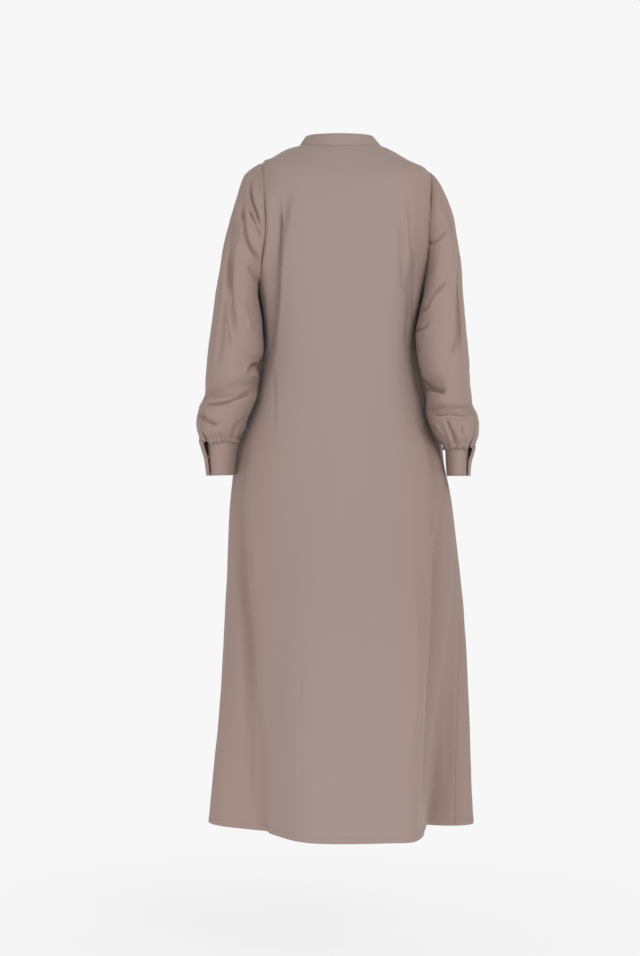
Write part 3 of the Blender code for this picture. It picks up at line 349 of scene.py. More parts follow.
STITCH_LIFT, STITCH_SINK = 0.35, 0.8  # of its middle and its tips, in the thread's radius
BUTTONHOLE_LENGTH, BUTTONHOLE_WIDTH = 0.0145, 0.0022
BUTTONHOLE_SLIT, BUTTONHOLE_PITCH = 0.0002, 0.0006
BUTTONHOLE_STITCHES = (0.0011, 0.0010)  # their pitch and length
PLACKET_HALF = 0.0009  # half the band's thickness

# How the cloth swells and sinks

SHOULDER_DIP_REACH = 0.020
ARMHOLE_SWELL, ARMHOLE_SWELL_REACH = 0.0040, 0.020  # behind the arm
BODY_BEHIND = {"face": 0.10, "fade": 0.35, "top": -0.07, "fall": 0.07}
SLEEVE_BEHIND = {"face": 0.05, "fade": 0.40, "top": -0.08, "fall": 0.08}
ARMHOLE_HELD, SLEEVE_HELD = 0.005, 0.004  # how far from a seam its cloth is held still
HEAD_FROM, HEAD_FADE = -0.75, 1.2  # where the sleeve's head starts, as a cosine round the armhole
HEAD_FULLNESS, HEAD_REACH = 0.0020, 0.045
PUCKER, PUCKER_REACH, PUCKERS_PER_COLUMN = 0.0008, 0.012, 1.55
PUCKER_STRAYS = ((0.42, 1.18, 0.0), (0.20, 2.7, 1.0))  # size, rate, phase
ELBOW_RING, ELBOW_REACH = 7.5, 1.6
SLEEVE_LUMPS, ELBOW_LUMPS, SLEEVE_SMALL_LUMPS = 0.0007, 0.0005, 0.0004
LUMP_LENGTH, SMALL_LUMP_LENGTH = 0.060, 0.024
LOOSE_FROM_Z, LOOSE_FADE = -0.40, 0.70  # below the waist the cloth hangs loose
CALM_MIDDLE, CALM_MIDDLE_ANGLE = 0.8, 48
HEM_RAISED, HEM_EDGE, HEM_WAVE_REACH = 0.0005, 0.0008, 0.010
GATHER_WANDER, WANDER_LENGTH = 0.9, 0.035
SWELL_WAVES = 9
SLIT_EDGE_ANGLE = 14.0  # how far round the sleeve the slit's front edge lifts its cloth
BLOUSE_START_RING, BLOUSE_RING, BLOUSE_REACH = 13.35, 13.5, 0.62
BLOUSE_OUT, BLOUSE_DOWN = 0.0028, 0.0050
GATHERS = ((0.0013, 12, 1.0, 0), (0.0009, 23, 2.1, 1))  # depth, number round, wander and phase
SWELLS = {  # height, wave length, share of z that counts (low: long waves down the cloth), seed
    "body_hang": (0.0017, 0.085, 0.21, 5),
    "body": (0.0007, 0.120, 0.35, 3),
    "body_small": (0.00035, 0.040, 0.56, 4),
    "hem": (0.0003, 0.012, 0.20, 8),
    "placket": (0.0005, 0.050, 0.50, 61),
    "collar": (0.0005, 0.045, 1.00, 71),
    "cuff_left": (0.0006, 0.050, 1.00, 81),
    "cuff_right": (0.0006, 0.050, 1.00, 83),
}
SLEEVE_SEEDS = {"left": 21, "right": 37}
BLOUSE_SEEDS = (17, 19)
CLOTH_BUMP, THREAD_BUMP, HORN_BUMP = 0.00022, 0.0001, 0.00003  # in metres

# The studio

LIT_PLACE = (0.0, 0.0, -0.80)
LIGHTS = {  # the size of each, and its place
    "key": (1.6, (-1.8, 3.2, 1.4)),
    "fill": (2.2, (2.0, 2.4, -1.2)),
    "front": (2.6, (-0.8, -3.4, 0.9)),
}
CAMERA_PLACE, SENSOR_WIDTH = (0.039, 3.7, -0.649), 36.0
FLOOR_RADIUS = 40.0


class ClothSettings(bpy.types.PropertyGroup):
    """The crepe, its walls and its creases."""

    thickness: FloatProperty(
        name="Cloth thickness", description="Wall of one layer of crepe", default=0.0011,
        min=0.0004, unit="LENGTH", precision=5,
    )
    band_thickness: FloatProperty(
        name="Band thickness",
        description="Wall of the collar and the cuffs, which are folded and lined", default=0.0023,
        min=0.001, unit="LENGTH", precision=5,
    )
    body_step: FloatProperty(
        name="Body step", description="Length of the body's faces at the hem", default=0.0050,
        min=0.003, unit="LENGTH", precision=5,
    )
    sleeve_step: FloatProperty(
        name="Sleeve step", description="Length of the sleeves' faces", default=0.0027, min=0.002,
        unit="LENGTH", precision=5,
    )
    crease_strength: FloatProperty(
        name="Creases", description="How deep the creases are, as a share of their tables",
        default=1.75, min=0.0, max=2.0, subtype="FACTOR",
    )
    colour: FloatVectorProperty(
        name="Crepe", description="The crepe's colour", default=(0.303, 0.218, 0.188), size=3,
        subtype="COLOR", min=0.0, max=1.0,
    )
    # The crepe's colour down the middle of the back and the front, a little paler and greyer than
    # at the sides.
    pale_colour: FloatVectorProperty(
        name="Pale crepe",
        description="The crepe's colour where it has faded a little, down the back",
        default=(0.306, 0.230, 0.209), size=3, subtype="COLOR", min=0.0, max=1.0,
    )
    grain: FloatProperty(
        name="Grain", description="Length of the crepe's crinkles", default=0.0012, min=0.0004,
        unit="LENGTH", precision=5,
    )


class StitchSettings(bpy.types.PropertyGroup):
    """The sewing thread."""

    pitch: FloatProperty(
        name="Pitch", description="From one stitch to the next", default=0.0030, min=0.001,
        unit="LENGTH", precision=5,
    )
    length: FloatProperty(
        name="Length", description="What shows of one stitch", default=0.0023, min=0.0005,
        unit="LENGTH", precision=5,
    )
    thread: FloatProperty(
        name="Thread", description="Radius of the thread", default=0.00024, min=0.0001,
        unit="LENGTH", precision=5,
    )
    colour: FloatVectorProperty(
        name="Thread colour", description="The thread's colour", default=(0.300, 0.220, 0.185),
        size=3, subtype="COLOR", min=0.0, max=1.0,
    )


class ButtonSettings(bpy.types.PropertyGroup):
    """The four-holed buttons."""

    sides: IntProperty(
        name="Sides", description="Sides of a button's rim", default=48, min=24, max=96,
    )
    hole_radius: FloatProperty(
        name="Hole", description="Radius of each of the four holes", default=0.00075, min=0.0003,
        unit="LENGTH", precision=5,
    )
    hole_reach: FloatProperty(
        name="Hole reach", description="From the middle to each hole", default=0.00175, min=0.001,
        unit="LENGTH", precision=5,
    )
    colour: FloatVectorProperty(
        name="Button", description="The buttons' colour", default=(0.235, 0.165, 0.128), size=3,
        subtype="COLOR", min=0.0, max=1.0,
    )


class StudioSettings(bpy.types.PropertyGroup):
    """The floor, the lights and the camera."""

    pale: FloatProperty(
        name="Backdrop", description="Brightness of the backdrop", default=0.930, min=0.0, max=2.0,
        subtype="FACTOR",
    )
    ambient: FloatProperty(
        name="Ambient", description="Brightness of the light from all round", default=0.515,
        min=0.0, max=2.0, subtype="FACTOR",
    )
    floor_height: FloatProperty(
        name="Floor", description="Height of the floor below the shoulders", default=-1.584,
        unit="LENGTH",
    )
    key_power: FloatProperty(
        name="Key light", description="Power of the large soft light", default=73.0, min=0.0,
        unit="POWER",
    )
    fill_power: FloatProperty(
        name="Fill light", description="Power of the light on the other side", default=33.0,
        min=0.0, unit="POWER",
    )
    front_power: FloatProperty(
        name="Front light", description="Power of the light on the wearer's front", default=36.0,
        min=0.0, unit="POWER",
    )
    lens: FloatProperty(
        name="Lens", description="Focal length of the camera", default=71.08, min=20.0,
        unit="CAMERA",
    )


# Curves and tables


def as_columns(names, rows):
    """A table of rows as one array for each named column."""
    return dict(zip(names, np.array(list(rows.values()), float).T))


def as_rows(names, rows):
    """A table of rows as one dictionary for each row."""
    return [dict(zip(names, row)) for row in rows.values()]


BODY = as_columns(BODY_COLUMNS, BODY_RINGS)
FOLDS = as_rows(FOLD_COLUMNS, BODY_FOLDS)
SLEEVES = {side: as_columns(SLEEVE_COLUMNS, rows) for side, rows in SLEEVE_RINGS.items()}
CREASES = {side: as_rows(CREASE_COLUMNS, rows) for side, rows in SLEEVE_CREASES.items()}
EDGES = {edge: dict(zip(ARMHOLE_COLUMNS, row)) for edge, row in ARMHOLES.items()}
LAST_BODY_RING = len(BODY["z_back"]) - 1.0
LAST_SLEEVE_RING = len(SLEEVES["left"]["mid_y"]) - 1.0


def smooth_step(t):
    t = np.clip(t, 0, 1)
    return t * t * (3 - 2 * t)


def bump(t):
    """1 in the middle, 0 from -1 and 1 outwards, round all over."""
    return np.where(np.abs(t) < 1, np.cos(np.pi / 2 * np.clip(t, -1, 1)) ** 2, 0.0)


def bell(away, reach):
    """1 at 0, and less and less outwards, with 0.37 at the reach."""
    return np.exp(-((away / reach) ** 2))


def unit(vectors):
    return vectors / np.linalg.norm(vectors, axis=-1, keepdims=True)


def spline(values, at):
    """A smooth curve through evenly spaced values, read at fractional places."""
    at = np.clip(np.asarray(at, float), 0, len(values) - 1)
    i = np.clip(at.astype(int), 0, len(values) - 2)
    t = at - i
    padded = np.concatenate([[2 * values[0] - values[1]], values, [2 * values[-1] - values[-2]]])
    before, start, end, after = (padded[i + k] for k in range(4))
    return (
        start
        + 0.5 * t * (end - before)
        + t * t * (before - 2.5 * start + 2 * end - 0.5 * after)
        + t * t * t * (1.5 * (start - end) + 0.5 * (after - before))
    )


def spaced(values, along, step, fine_start=(0.0,), fine_end=(0.0,)):
    """Values whose distances along a line are given, read a step apart and finer at its ends."""
    return np.interp(places_along(along[-1], step, fine_start, fine_end), along, values)


def lengths_along(line):
    """How far along a line of points each of them is."""
    steps = np.linalg.norm(np.diff(line, axis=0), axis=-1)
    return np.concatenate([np.zeros((1,) + steps.shape[1:]), np.cumsum(steps, axis=0)])


def places_along(total, step, start=(0.0,), end=(0.0,)):
    """Places from 0 to total, a step apart, with the given finer places at the ends."""
    count = max(2, round((total - start[-1] - end[-1]) / step))
    middle = np.linspace(start[-1], total - end[-1], count + 1)
    return np.concatenate([start[:-1], middle, total - np.array(end[:-1])[::-1]])


# The body's surface


def body_folds(angle, z):
    """How far the folds press the body's wall in, and turn it, at an angle and a height."""
    pressed, turned = np.zeros_like(z), np.zeros_like(z)
    for f in FOLDS:
        lowest = max(f["end_z"], BODY["z_back"][-1])
        down = np.clip((f["start_z"] - z) / (f["start_z"] - lowest), 0, 1)
        middle = f["start_angle"] + (f["end_angle"] - f["start_angle"]) * down
        grown = smooth_step((f["start_z"] - z) / (f["start_z"] - f["full_z"]))
        grown = grown * (1 - smooth_step((f["fade_z"] - z) / (f["fade_z"] - f["end_z"])))
        away = (angle - middle + 180) % 360 - 180
        width = np.where(away * f["start_angle"] < 0, f["back_width"], f["front_width"])
        strength = grown * bump(away / width)
        pressed += strength * f["depth"]
        turned += strength**2 * f["turn"]
    return pressed, turned


def body_point(angle, ring):
    """A point of the body's smooth surface, at an angle from the back and a ring from the neck."""
    angle, ring = np.broadcast_arrays(np.asarray(angle, float), np.asarray(ring, float))
    c = {name: spline(values, ring) for name, values in BODY.items()}
    s, k = np.sin(np.radians(angle)), np.cos(np.radians(angle))
    wide = np.where(s > 0, c["left"], c["right"])
    deep = np.where(k > 0, c["back"], c["front"])
    square = c["square"]
    reach = (np.abs(s / wide) ** square + np.abs(k / deep) ** square) ** (-1 / square)
    z_side = np.where(s > 0, c["z_left"], c["z_right"])
    z = z_side + (np.where(k > 0, c["z_back"], c["z_front"]) - z_side) * k * k
    pressed, turned = body_folds(angle, z)
    reach = reach - pressed
    return np.stack([reach * s + turned * k, reach * k - turned * s, z], axis=-1)


def slope_normal(surface, u, v, step_u, step_v):
    """The unit normal of a surface given as a function of two parameters."""
    along_u = surface(u + step_u, v) - surface(u - step_u, v)
    along_v = surface(u, v + step_v) - surface(u, v - step_v)
    return unit(np.cross(along_u, along_v))


def body_normal(angle, ring):
    ring = np.clip(ring, STEP_RING, LAST_BODY_RING - STEP_RING)
    return slope_normal(body_point, angle, ring, STEP_ANGLE, STEP_RING)


def armhole_angle(side, part, ring):
    """The angle, without sign, of a panel's edge: the side seam, or the armhole cut into it."""
    t = np.clip((ring - SHOULDER_RING) / (UNDERARM_RING - SHOULDER_RING), 0, 1)
    edge = EDGES[side, part]
    arc = np.where((t > 0) & (t < 1), np.sin(np.pi * t), 0)
    cut = edge["cut"] * arc ** np.where(t < 0.5, edge["upper_curve"], edge["lower_curve"])
    return 90 - cut if part == "back" else 90 + cut


def armhole_steps(count=ARMHOLE_STEPS):
    """Shares of the way down an armhole, closer together at the shoulder and the underarm."""
    even = np.linspace(0, 1, count + 1)
    return even - 0.6 * np.sin(2 * np.pi * even) / (2 * np.pi)


def armhole_place(side, column):
    """(angle, ring) on the body of a sleeve's column: down the back edge, then up the front one."""
    column = np.asarray(column, float) % SLEEVE_TURN
    half = SLEEVE_TURN / 2
    down = np.where(column <= half, column / half, 2 - column / half)
    ring = SHOULDER_RING + (UNDERARM_RING - SHOULDER_RING) * down
    back, front = (armhole_angle(side, part, ring) for part in ("back", "front"))
    return SIDES[side] * np.where(column <= half, back, front), ring


# The sleeves' surface


def oval(side, column, ring):
    """The plain oval of a sleeve ring, and the unit direction out of it, at a column."""
    c = {name: spline(values, ring) for name, values in SLEEVES[side].items()}
    turn = np.radians(column * 360 / SLEEVE_TURN)
    cos, sin = np.cos(turn), np.sin(turn)
    reach = (np.abs(cos) ** c["square"] + np.abs(sin) ** c["square"]) ** (-1 / c["square"])
    zero = np.zeros_like(cos)
    sign = SIDES[side]
    middle_x, middle_z = sign * (c["outer_x"] + c["inner_x"]) / 2, (c["outer_z"] + c["inner_z"]) / 2
    middle = np.stack([middle_x, c["mid_y"] + zero, middle_z], -1)
    out = np.stack(
        [
            sign * cos * (c["outer_x"] - c["inner_x"]) / 2,
            sin * c["half_depth"],
            cos * (c["outer_z"] - c["inner_z"]) / 2,
        ],
        -1,
    )
    return middle + reach[..., None] * out, unit(out)


def sleeve_creases(side, column, ring):
    """How far the sleeve's large creases press its wall in."""
    angle = (column * 360 / SLEEVE_TURN) % 360
    pressed = np.zeros_like(angle)
    for f in CREASES[side]:
        span = (f["end_angle"] - f["start_angle"], f["end_ring"] - f["start_ring"])
        du = (angle - f["start_angle"]) / f["half_width"]
        dv = (ring - f["start_ring"]) / f["half_length"]
        su, sv = span[0] / f["half_width"], span[1] / f["half_length"]
        t = np.clip((du * su + dv * sv) / (su * su + sv * sv), 0, 1)
        pressed += f["depth"] * bump(np.hypot(du - t * su, dv - t * sv))
    return pressed


def sleeve_point(side, column, ring):
    """A point of a sleeve's smooth surface. Columns run from the arm's outer side over its back."""
    column, ring = np.broadcast_arrays(np.asarray(column, float), np.asarray(ring, float))
    point, out = oval(side, column, ring)
    shift = body_point(*armhole_place(side, column)) - oval(side, column, np.zeros_like(ring))[0]
    fade = (1 - np.clip(ring / SLEEVE_BLEND_RINGS, 0, 1)) ** 2
    return point + shift * fade[..., None] - out * sleeve_creases(side, column, ring)[..., None]


def sleeve_normal(side, column, ring):
    step = STEP_ANGLE * SLEEVE_TURN / 360
    ring = np.clip(ring, STEP_RING, LAST_SLEEVE_RING - STEP_RING)
    surface = functools.partial(sleeve_point, side)
    return -SIDES[side] * slope_normal(surface, column, ring, step, STEP_RING)


def flare(side, turn):
    """How far the slit's front edge and the cuff's end below it stand off, outwards in X."""
    grown = smooth_step((turn - FLARE_START_ANGLE) / (FLARE_FULL_ANGLE - FLARE_START_ANGLE))
    zero = np.zeros_like(grown)
    return np.stack([SIDES[side] * FLARE[side] * grown, zero, zero], -1)


def cuff_point(side, turn, down):
    """A point of a cuff's middle: turn in degrees from the outer side over the back, down to 1."""
    last = np.full_like(turn, LAST_SLEEVE_RING)
    top, out = oval(side, turn * SLEEVE_TURN / 360, last)
    flat_out = unit(out * [1, 1, 0])
    over = smooth_step((turn - (CUFF_OVER_ANGLE - CUFF_OVER_FADE)) / CUFF_LAP_FADE)
    under = 1 - smooth_step((turn - CUFF_UNDER_ANGLE - CUFF_UNDER_FADE) / CUFF_LAP_FADE)
    lap = (CAD_BAND_CLOTH + LAYER_GAP) * (CUFF_LAP_SHARE * over - CUFF_LAP_SHARE * under)
    inward = CUFF_TAPER[side] * down - lap
    drop = np.stack([0 * turn, 0 * turn, -CUFF_HEIGHT[side] * down], -1)
    share = spline(np.array(FLARE_DOWN), down * (len(FLARE_DOWN) - 1))
    return top - flat_out * inward[..., None] + drop + flare(side, turn) * share[..., None]


def cuff_normal(side, turn, down):
    surface = functools.partial(cuff_point, side)
    return -SIDES[side] * slope_normal(surface, turn, down, CUFF_STEP_ANGLE, CUFF_STEP_DOWN)


def collar_point(angle, up):
    """A point of the collar's middle: up is 0 at the neck seam and 1 at the top edge."""
    base = body_point(angle, 0.0)
    s, k = np.sin(np.radians(angle)), np.cos(np.radians(angle))
    middle = np.where(k > 0, COLLAR_HEIGHT_BACK, COLLAR_HEIGHT_FRONT)
    height = COLLAR_HEIGHT_SIDE + (middle - COLLAR_HEIGHT_SIDE) * k * k
    side_lean = np.where(s > 0, COLLAR_LEAN_LEFT, COLLAR_LEAN_RIGHT)
    lean = side_lean + (COLLAR_LEAN_MIDDLE - side_lean) * k * k
    rise = np.stack([-s * lean, -k * lean, height], -1)
    return base + rise * np.asarray(up, float)[..., None]


def collar_normal(angle):
    """The unit normal of the collar's wall, outwards."""
    rise = unit(collar_point(angle, 1.0) - collar_point(angle, 0.0))
    around = collar_point(angle + 1, 0.5) - collar_point(angle - 1, 0.5)
    radial = np.stack([np.sin(np.radians(angle)), np.cos(np.radians(angle)), 0.0 * angle], -1)
    normal = unit(np.cross(rise, around))
    return normal * np.sign((normal * radial).sum(-1, keepdims=True))


def neck_normal(angle):
    """The direction halfway between the body's normal and the collar's at the neck seam."""
    return unit(body_normal(angle, 0.0 * angle) + collar_normal(angle))


def collar_shift(angle):
    """How far the collar's ends stand out of its line, so that the right end laps over the left."""
    over, under = (
        smooth_step((way * angle - COLLAR_LAP_START_ANGLE) / COLLAR_LAP_FADE) for way in (-1, 1)
    )
    share = COLLAR_OVER_SHARE * over - (1 - COLLAR_OVER_SHARE) * under
    return (CAD_BAND_CLOTH + LAYER_GAP) * share


# Creases, swells and seams of the cloth


def smooth_line(points):
    """A line of points as a finer, smoother one."""
    points = np.array(points, float)
    at = np.linspace(0, len(points) - 1, CREASE_LINE_POINTS)
    return np.stack([spline(points[:, k], at) for k in range(points.shape[1])], -1)


def one_crease(places, crease):
    """How far one crease of a table presses the cloth in, at places (x, z)."""
    width, depth, lip = (value / 1000 for value in crease[:3])
    width = CREASE_WIDTH_SHARE * width
    line = smooth_line(crease[3])
    margin = CREASE_REACH * width
    near = ((places > line.min(0) - margin) & (places < line.max(0) + margin)).all(-1)
    pressed = np.zeros(places.shape[:-1])
    if not near.any():
        return pressed
    away = places[near][:, None] - line
    squares = (away**2).sum(-1)
    nearest = squares.argmin(1)
    rows = np.arange(len(nearest))
    forward = unit(np.gradient(line, axis=0))[nearest]
    off = away[rows, nearest]
    left = forward[:, 0] * off[:, 1] - forward[:, 1] * off[:, 0]
    distance = np.sqrt(squares[rows, nearest])
    lip_way = -1.0 if lip < 0 else 1.0
    across = distance * np.where(left * lip_way > 0, 1, -1) / width
    along = nearest / (len(line) - 1)
    fade = smooth_step(along / CREASE_FADE_IN) * smooth_step((1 - along) / CREASE_FADE_OUT)
    groove = bell(across, np.where(across > 0, *GROOVE_WIDTHS))
    ridge = bell(across - LIP_PLACE, LIP_WIDTH)
    pressed[near] = fade * (depth * groove - abs(lip) * ridge)
    return pressed


def crease_field(points, normals, back_table, front_table):
    """How far two tables of creases press the cloth in, one for where it faces back, one front."""
    places = points[..., [0, 2]]
    facing = normals[..., 1]
    pressed = np.zeros(facing.shape)
    for table, way in ((back_table, 1), (front_table, -1)):
        weight = smooth_step((facing * way + FACING_MARGIN) / FACING_FADE)
        pressed += weight * sum(one_crease(places, crease) for crease in table)
    return pressed


def swell(points, length, seed):
    """A smooth random swell over points, about -1 to 1, with waves of about that length."""
    random = np.random.default_rng(seed)
    ways = unit(random.normal(size=(SWELL_WAVES, 3)))
    waves = ways * 2 * np.pi / (length * random.uniform(0.7, 1.5, (SWELL_WAVES, 1)))
    phases = random.uniform(0, 2 * np.pi, SWELL_WAVES)
    return np.sin(points @ waves.T + phases).sum(-1) / (SWELL_WAVES / 2)


def facing_back(normals, z, face, fade, top, fall):
    """1 where the cloth faces back and lies below a height, going down to 0 elsewhere."""
    return smooth_step((normals[..., 1] - face) / fade) * smooth_step((top - z) / fall)


def swelling(points, name):
    """One of the cloth's named swells, in metres."""
    height, length, squeeze, seed = SWELLS[name]
    return height * swell(points * [1, 1, squeeze], length, seed)


def tree_of(points):
    tree = KDTree(len(points))
    for i, point in enumerate(points):
        tree.insert(point, i)
    tree.balance()
    return tree


def distance_to(tree, points):
    """Every point's distance to the nearest point of a tree."""
    flat = points.reshape(-1, 3).tolist()
    return np.array([tree.find(point)[2] for point in flat]).reshape(points.shape[:-1])


@functools.lru_cache(maxsize=None)
def armhole_tree(side):
    columns = np.linspace(0, SLEEVE_TURN, 900)
    return tree_of(body_point(*armhole_place(side, columns)))


@functools.lru_cache(maxsize=None)
def body_seam_tree():
    """The seams of the body: armholes, sides, shoulders and neck."""
    lines = [body_point(np.linspace(-180, 180, 400), 0.0)]
    for side, sign in SIDES.items():
        lines.append(body_point(*armhole_place(side, np.linspace(0, SLEEVE_TURN, 900))))
        lines.append(body_point(90.0 * sign, np.linspace(0, SHOULDER_RING, 90)))
        lines.append(body_point(90.0 * sign, np.linspace(UNDERARM_RING, LAST_BODY_RING, 900)))
    return tree_of(np.concatenate(lines))


def pucker(column):
    """The even ups and downs, -1 to 1, of cloth eased into an armhole, at a sleeve's column."""
    strays = sum(size * np.sin(column * rate + phase) for size, rate, phase in PUCKER_STRAYS)
    return np.cos(2 * np.pi * (PUCKERS_PER_COLUMN * column + strays))


def groove_at(distance):
    return SEAM_GROOVE_DEPTH * bell(distance, SEAM_GROOVE_WIDTH)


def held_by_seam(distance, reach):
    """0 at a seam, where two pieces have to meet, and 1 away from it."""
    return 1 - bell(distance, reach)


def body_relief(angle, points, normals, strength):
    """How far the body's cloth stands out of its smooth surface."""
    distance = distance_to(body_seam_tree(), points)
    z = points[..., 2]
    creases = crease_field(points, normals, BACK_CREASES_MM, FRONT_CREASES_MM)
    loose = smooth_step((LOOSE_FROM_Z - z) / LOOSE_FADE)
    off_centre = 1 - CALM_MIDDLE * bell(angle, CALM_MIDDLE_ANGLE)
    hang = loose * off_centre * swelling(points, "body_hang")
    for middle, depth in SHOULDER_DIPS:
        hang = hang - depth * bell(np.linalg.norm(points - middle, axis=-1), SHOULDER_DIP_REACH)
    from_armhole = np.minimum(*(distance_to(armhole_tree(side), points) for side in SIDES))
    behind = facing_back(normals, z, **BODY_BEHIND)
    hang = hang + ARMHOLE_SWELL * behind * bell(from_armhole, ARMHOLE_SWELL_REACH)
    lumps = swelling(points, "body") + swelling(points, "body_small")
    held = held_by_seam(distance, ARMHOLE_HELD)
    return (hang + lumps - strength * creases) * held - groove_at(distance)


def hem_relief(above_hem):
    """The hem's double cloth stands out a little below its line of stitches, which pulls it in."""
    double = HEM_RAISED * (1 - smooth_step((above_hem - HEM_WIDTH + HEM_EDGE) / (2 * HEM_EDGE)))
    pulled = HEM_RAISED * bell(above_hem - HEM_WIDTH + HEM_STITCH_INSET, STITCH_PULL_WIDTH)
    return double - pulled


def body_cloth(angle, ring, strength):
    """The body's cloth with its creases: points and the smooth surface's normals."""
    ring = np.broadcast_to(ring, angle.shape)
    points, normals = body_point(angle, ring), body_normal(angle, ring)
    above_hem = (LAST_BODY_RING - ring) * HEM_RING_LENGTH
    relief = body_relief(angle, points, normals, strength) + hem_relief(above_hem)
    wave = swelling(points, "hem") * bell(above_hem - HEM_WIDTH, HEM_WAVE_REACH)
    return points + normals * (relief + wave)[..., None], normals


def sleeve_relief(side, column, ring, points, normals, strength):
    """How far a sleeve's cloth stands out of its smooth surface."""
    distance = distance_to(armhole_tree(side), points)
    tables = SLEEVE_BACK_CREASES_MM[side], SLEEVE_FRONT_CREASES_MM[side]
    creases = crease_field(points, normals, *tables)
    turn = np.radians(column * 360 / SLEEVE_TURN)
    head = smooth_step((np.cos(turn) - HEAD_FROM) / HEAD_FADE)
    behind = facing_back(normals, points[..., 2], **SLEEVE_BEHIND)
    eased = ARMHOLE_SWELL * behind * bell(distance, ARMHOLE_SWELL_REACH)
    full = HEAD_FULLNESS * np.exp(-distance / HEAD_REACH)
    eased = eased + head * (full + PUCKER * pucker(column) * np.exp(-distance / PUCKER_REACH))
    gathered = smooth_step((ring - GATHER_START_RING) / (GATHER_FULL_RING - GATHER_START_RING))
    seed = SLEEVE_SEEDS[side]
    wander = GATHER_WANDER * swell(points, WANDER_LENGTH, seed)
    gathers = sum(
        depth * np.cos(count * turn + strays * wander + phase)
        for depth, count, strays, phase in GATHERS
    )
    bend = bell(ring - ELBOW_RING, ELBOW_REACH)
    lumps = (SLEEVE_LUMPS + ELBOW_LUMPS * bend) * swell(points * [1, 1, 0.7], LUMP_LENGTH, seed + 1)
    lumps += SLEEVE_SMALL_LUMPS * swell(points, SMALL_LUMP_LENGTH, seed + 2)
    for middle, reach, height in SLEEVE_BULGES[side]:
        lumps = lumps + height * bell(np.linalg.norm(points - middle, axis=-1), reach)
    relief = eased + gathered**1.5 * gathers + lumps - strength * creases
    return relief * held_by_seam(distance, SLEEVE_HELD) - groove_at(distance)


# Making walls of cloth


def weave(points, closed_rows=0):
    """The places of a grid's points in a mesh, without doubles, the grid of their numbers, and its
    faces. In the first closed_rows rows the grid's first and last columns are one."""
    rows, columns = points.shape[:2]
    index = np.arange(rows * columns).reshape(rows, columns)
    index[:closed_rows, -1] = index[:closed_rows, 0]
    used, places = np.unique(index, return_inverse=True)
    index = places.reshape(rows, columns)
    quads = np.stack([index[:-1, :-1], index[:-1, 1:], index[1:, 1:], index[1:, :-1]], -1)
    return used, index, quads.reshape(-1, 4)


def grid_normals(points, closed_rows=0):
    """The unit normals of a grid of points, across times down."""
    used, index, quads = weave(points, closed_rows)
    mesh = bpy.data.meshes.new("middle")
    mesh.from_pydata(points.reshape(-1, 3)[used].tolist(), [], quads.tolist())
    normals = np.empty(3 * len(used))
    mesh.vertex_normals.foreach_get("vector", normals)
    bpy.data.meshes.remove(mesh)
    return normals.reshape(-1, 3)[index]


def edge_distances(points):
    """Each grid point's distance along the cloth to each of the grid's four edges."""
    down = lengths_along(points)
    across = np.moveaxis(lengths_along(np.moveaxis(points, 1, 0)), 0, 1)
    return {
        "top": down,
        "bottom": down[-1] - down,
        "first": across,
        "last": across[:, -1:] - across,
    }


def rounded_half(distance, half):
    """Half the thickness of a wall whose edge is round, at a distance from that edge."""
    inside = np.clip(1 - distance / half, 0, 0.9985)
    return half * np.sqrt(1 - inside**2)


def link(mesh, name, material):
    """A mesh as an object of the scene, with its material, at the origin."""
    obj = bpy.data.objects.new(name, mesh)
    bpy.context.scene.collection.objects.link(obj)
    mesh.materials.append(material)
    return obj


def sew_wall(name, points, normals, half, material, closed_rows=0):
    """A closed wall of cloth round a grid of points on its middle, half its thickness each way."""
    rows, columns = points.shape[:2]
    used, _, quads = weave(points, closed_rows)
    flat_points, flat_normals = points.reshape(-1, 3)[used], normals.reshape(-1, 3)[used]
    flat_half = np.broadcast_to(half, (rows, columns)).reshape(-1)[used][:, None]
    count = len(used)
    a, b, c = (flat_points[quads[:, k]] for k in range(3))
    if (np.cross(b - a, c - a) * flat_normals[quads[:, 0]]).sum() < 0:
        quads = quads[:, ::-1]
    starts, ends = quads.reshape(-1), np.roll(quads, -1, axis=1).reshape(-1)
    free = ~np.isin(starts * count + ends, ends * count + starts)
    starts, ends = starts[free], ends[free]
    rim = np.stack([ends, starts, starts + count, ends + count], -1)
    faces = np.concatenate([quads, quads[:, ::-1] + count, rim])
    mesh = bpy.data.meshes.new(name)
    aside = flat_normals * flat_half
    walls = np.concatenate([flat_points + aside, flat_points - aside])
    mesh.from_pydata(walls.tolist(), [], faces.tolist())
    mesh.validate()
    mesh.shade_smooth()
    mesh.set_sharp_from_angle(angle=math.radians(60))
    return link(mesh, name, material)


def folded_hem(points, normals):
    """More rows for a body panel's grid, which turn round its lower edge and run up inside it."""
    down = unit(points[-1] - points[-3])
    out = normals[-1]
    turns = np.linspace(0, np.pi, HEM_FOLD_ROWS)[1:, None, None]
    fold = points[-1] + HEM_FOLD_RADIUS * (np.sin(turns) * down - (1 - np.cos(turns)) * out)
    above = lengths_along(points[::-1])
    inside = [
        points[-1 - k] - 2 * HEM_FOLD_RADIUS * normals[-1 - k] - HEM_FOLD_GAP * normals[-1 - k]
        for k in range(1, int((above[:, 0] < HEM_WIDTH).sum()))
    ]
    return np.concatenate([points, fold, inside])


# Stitches


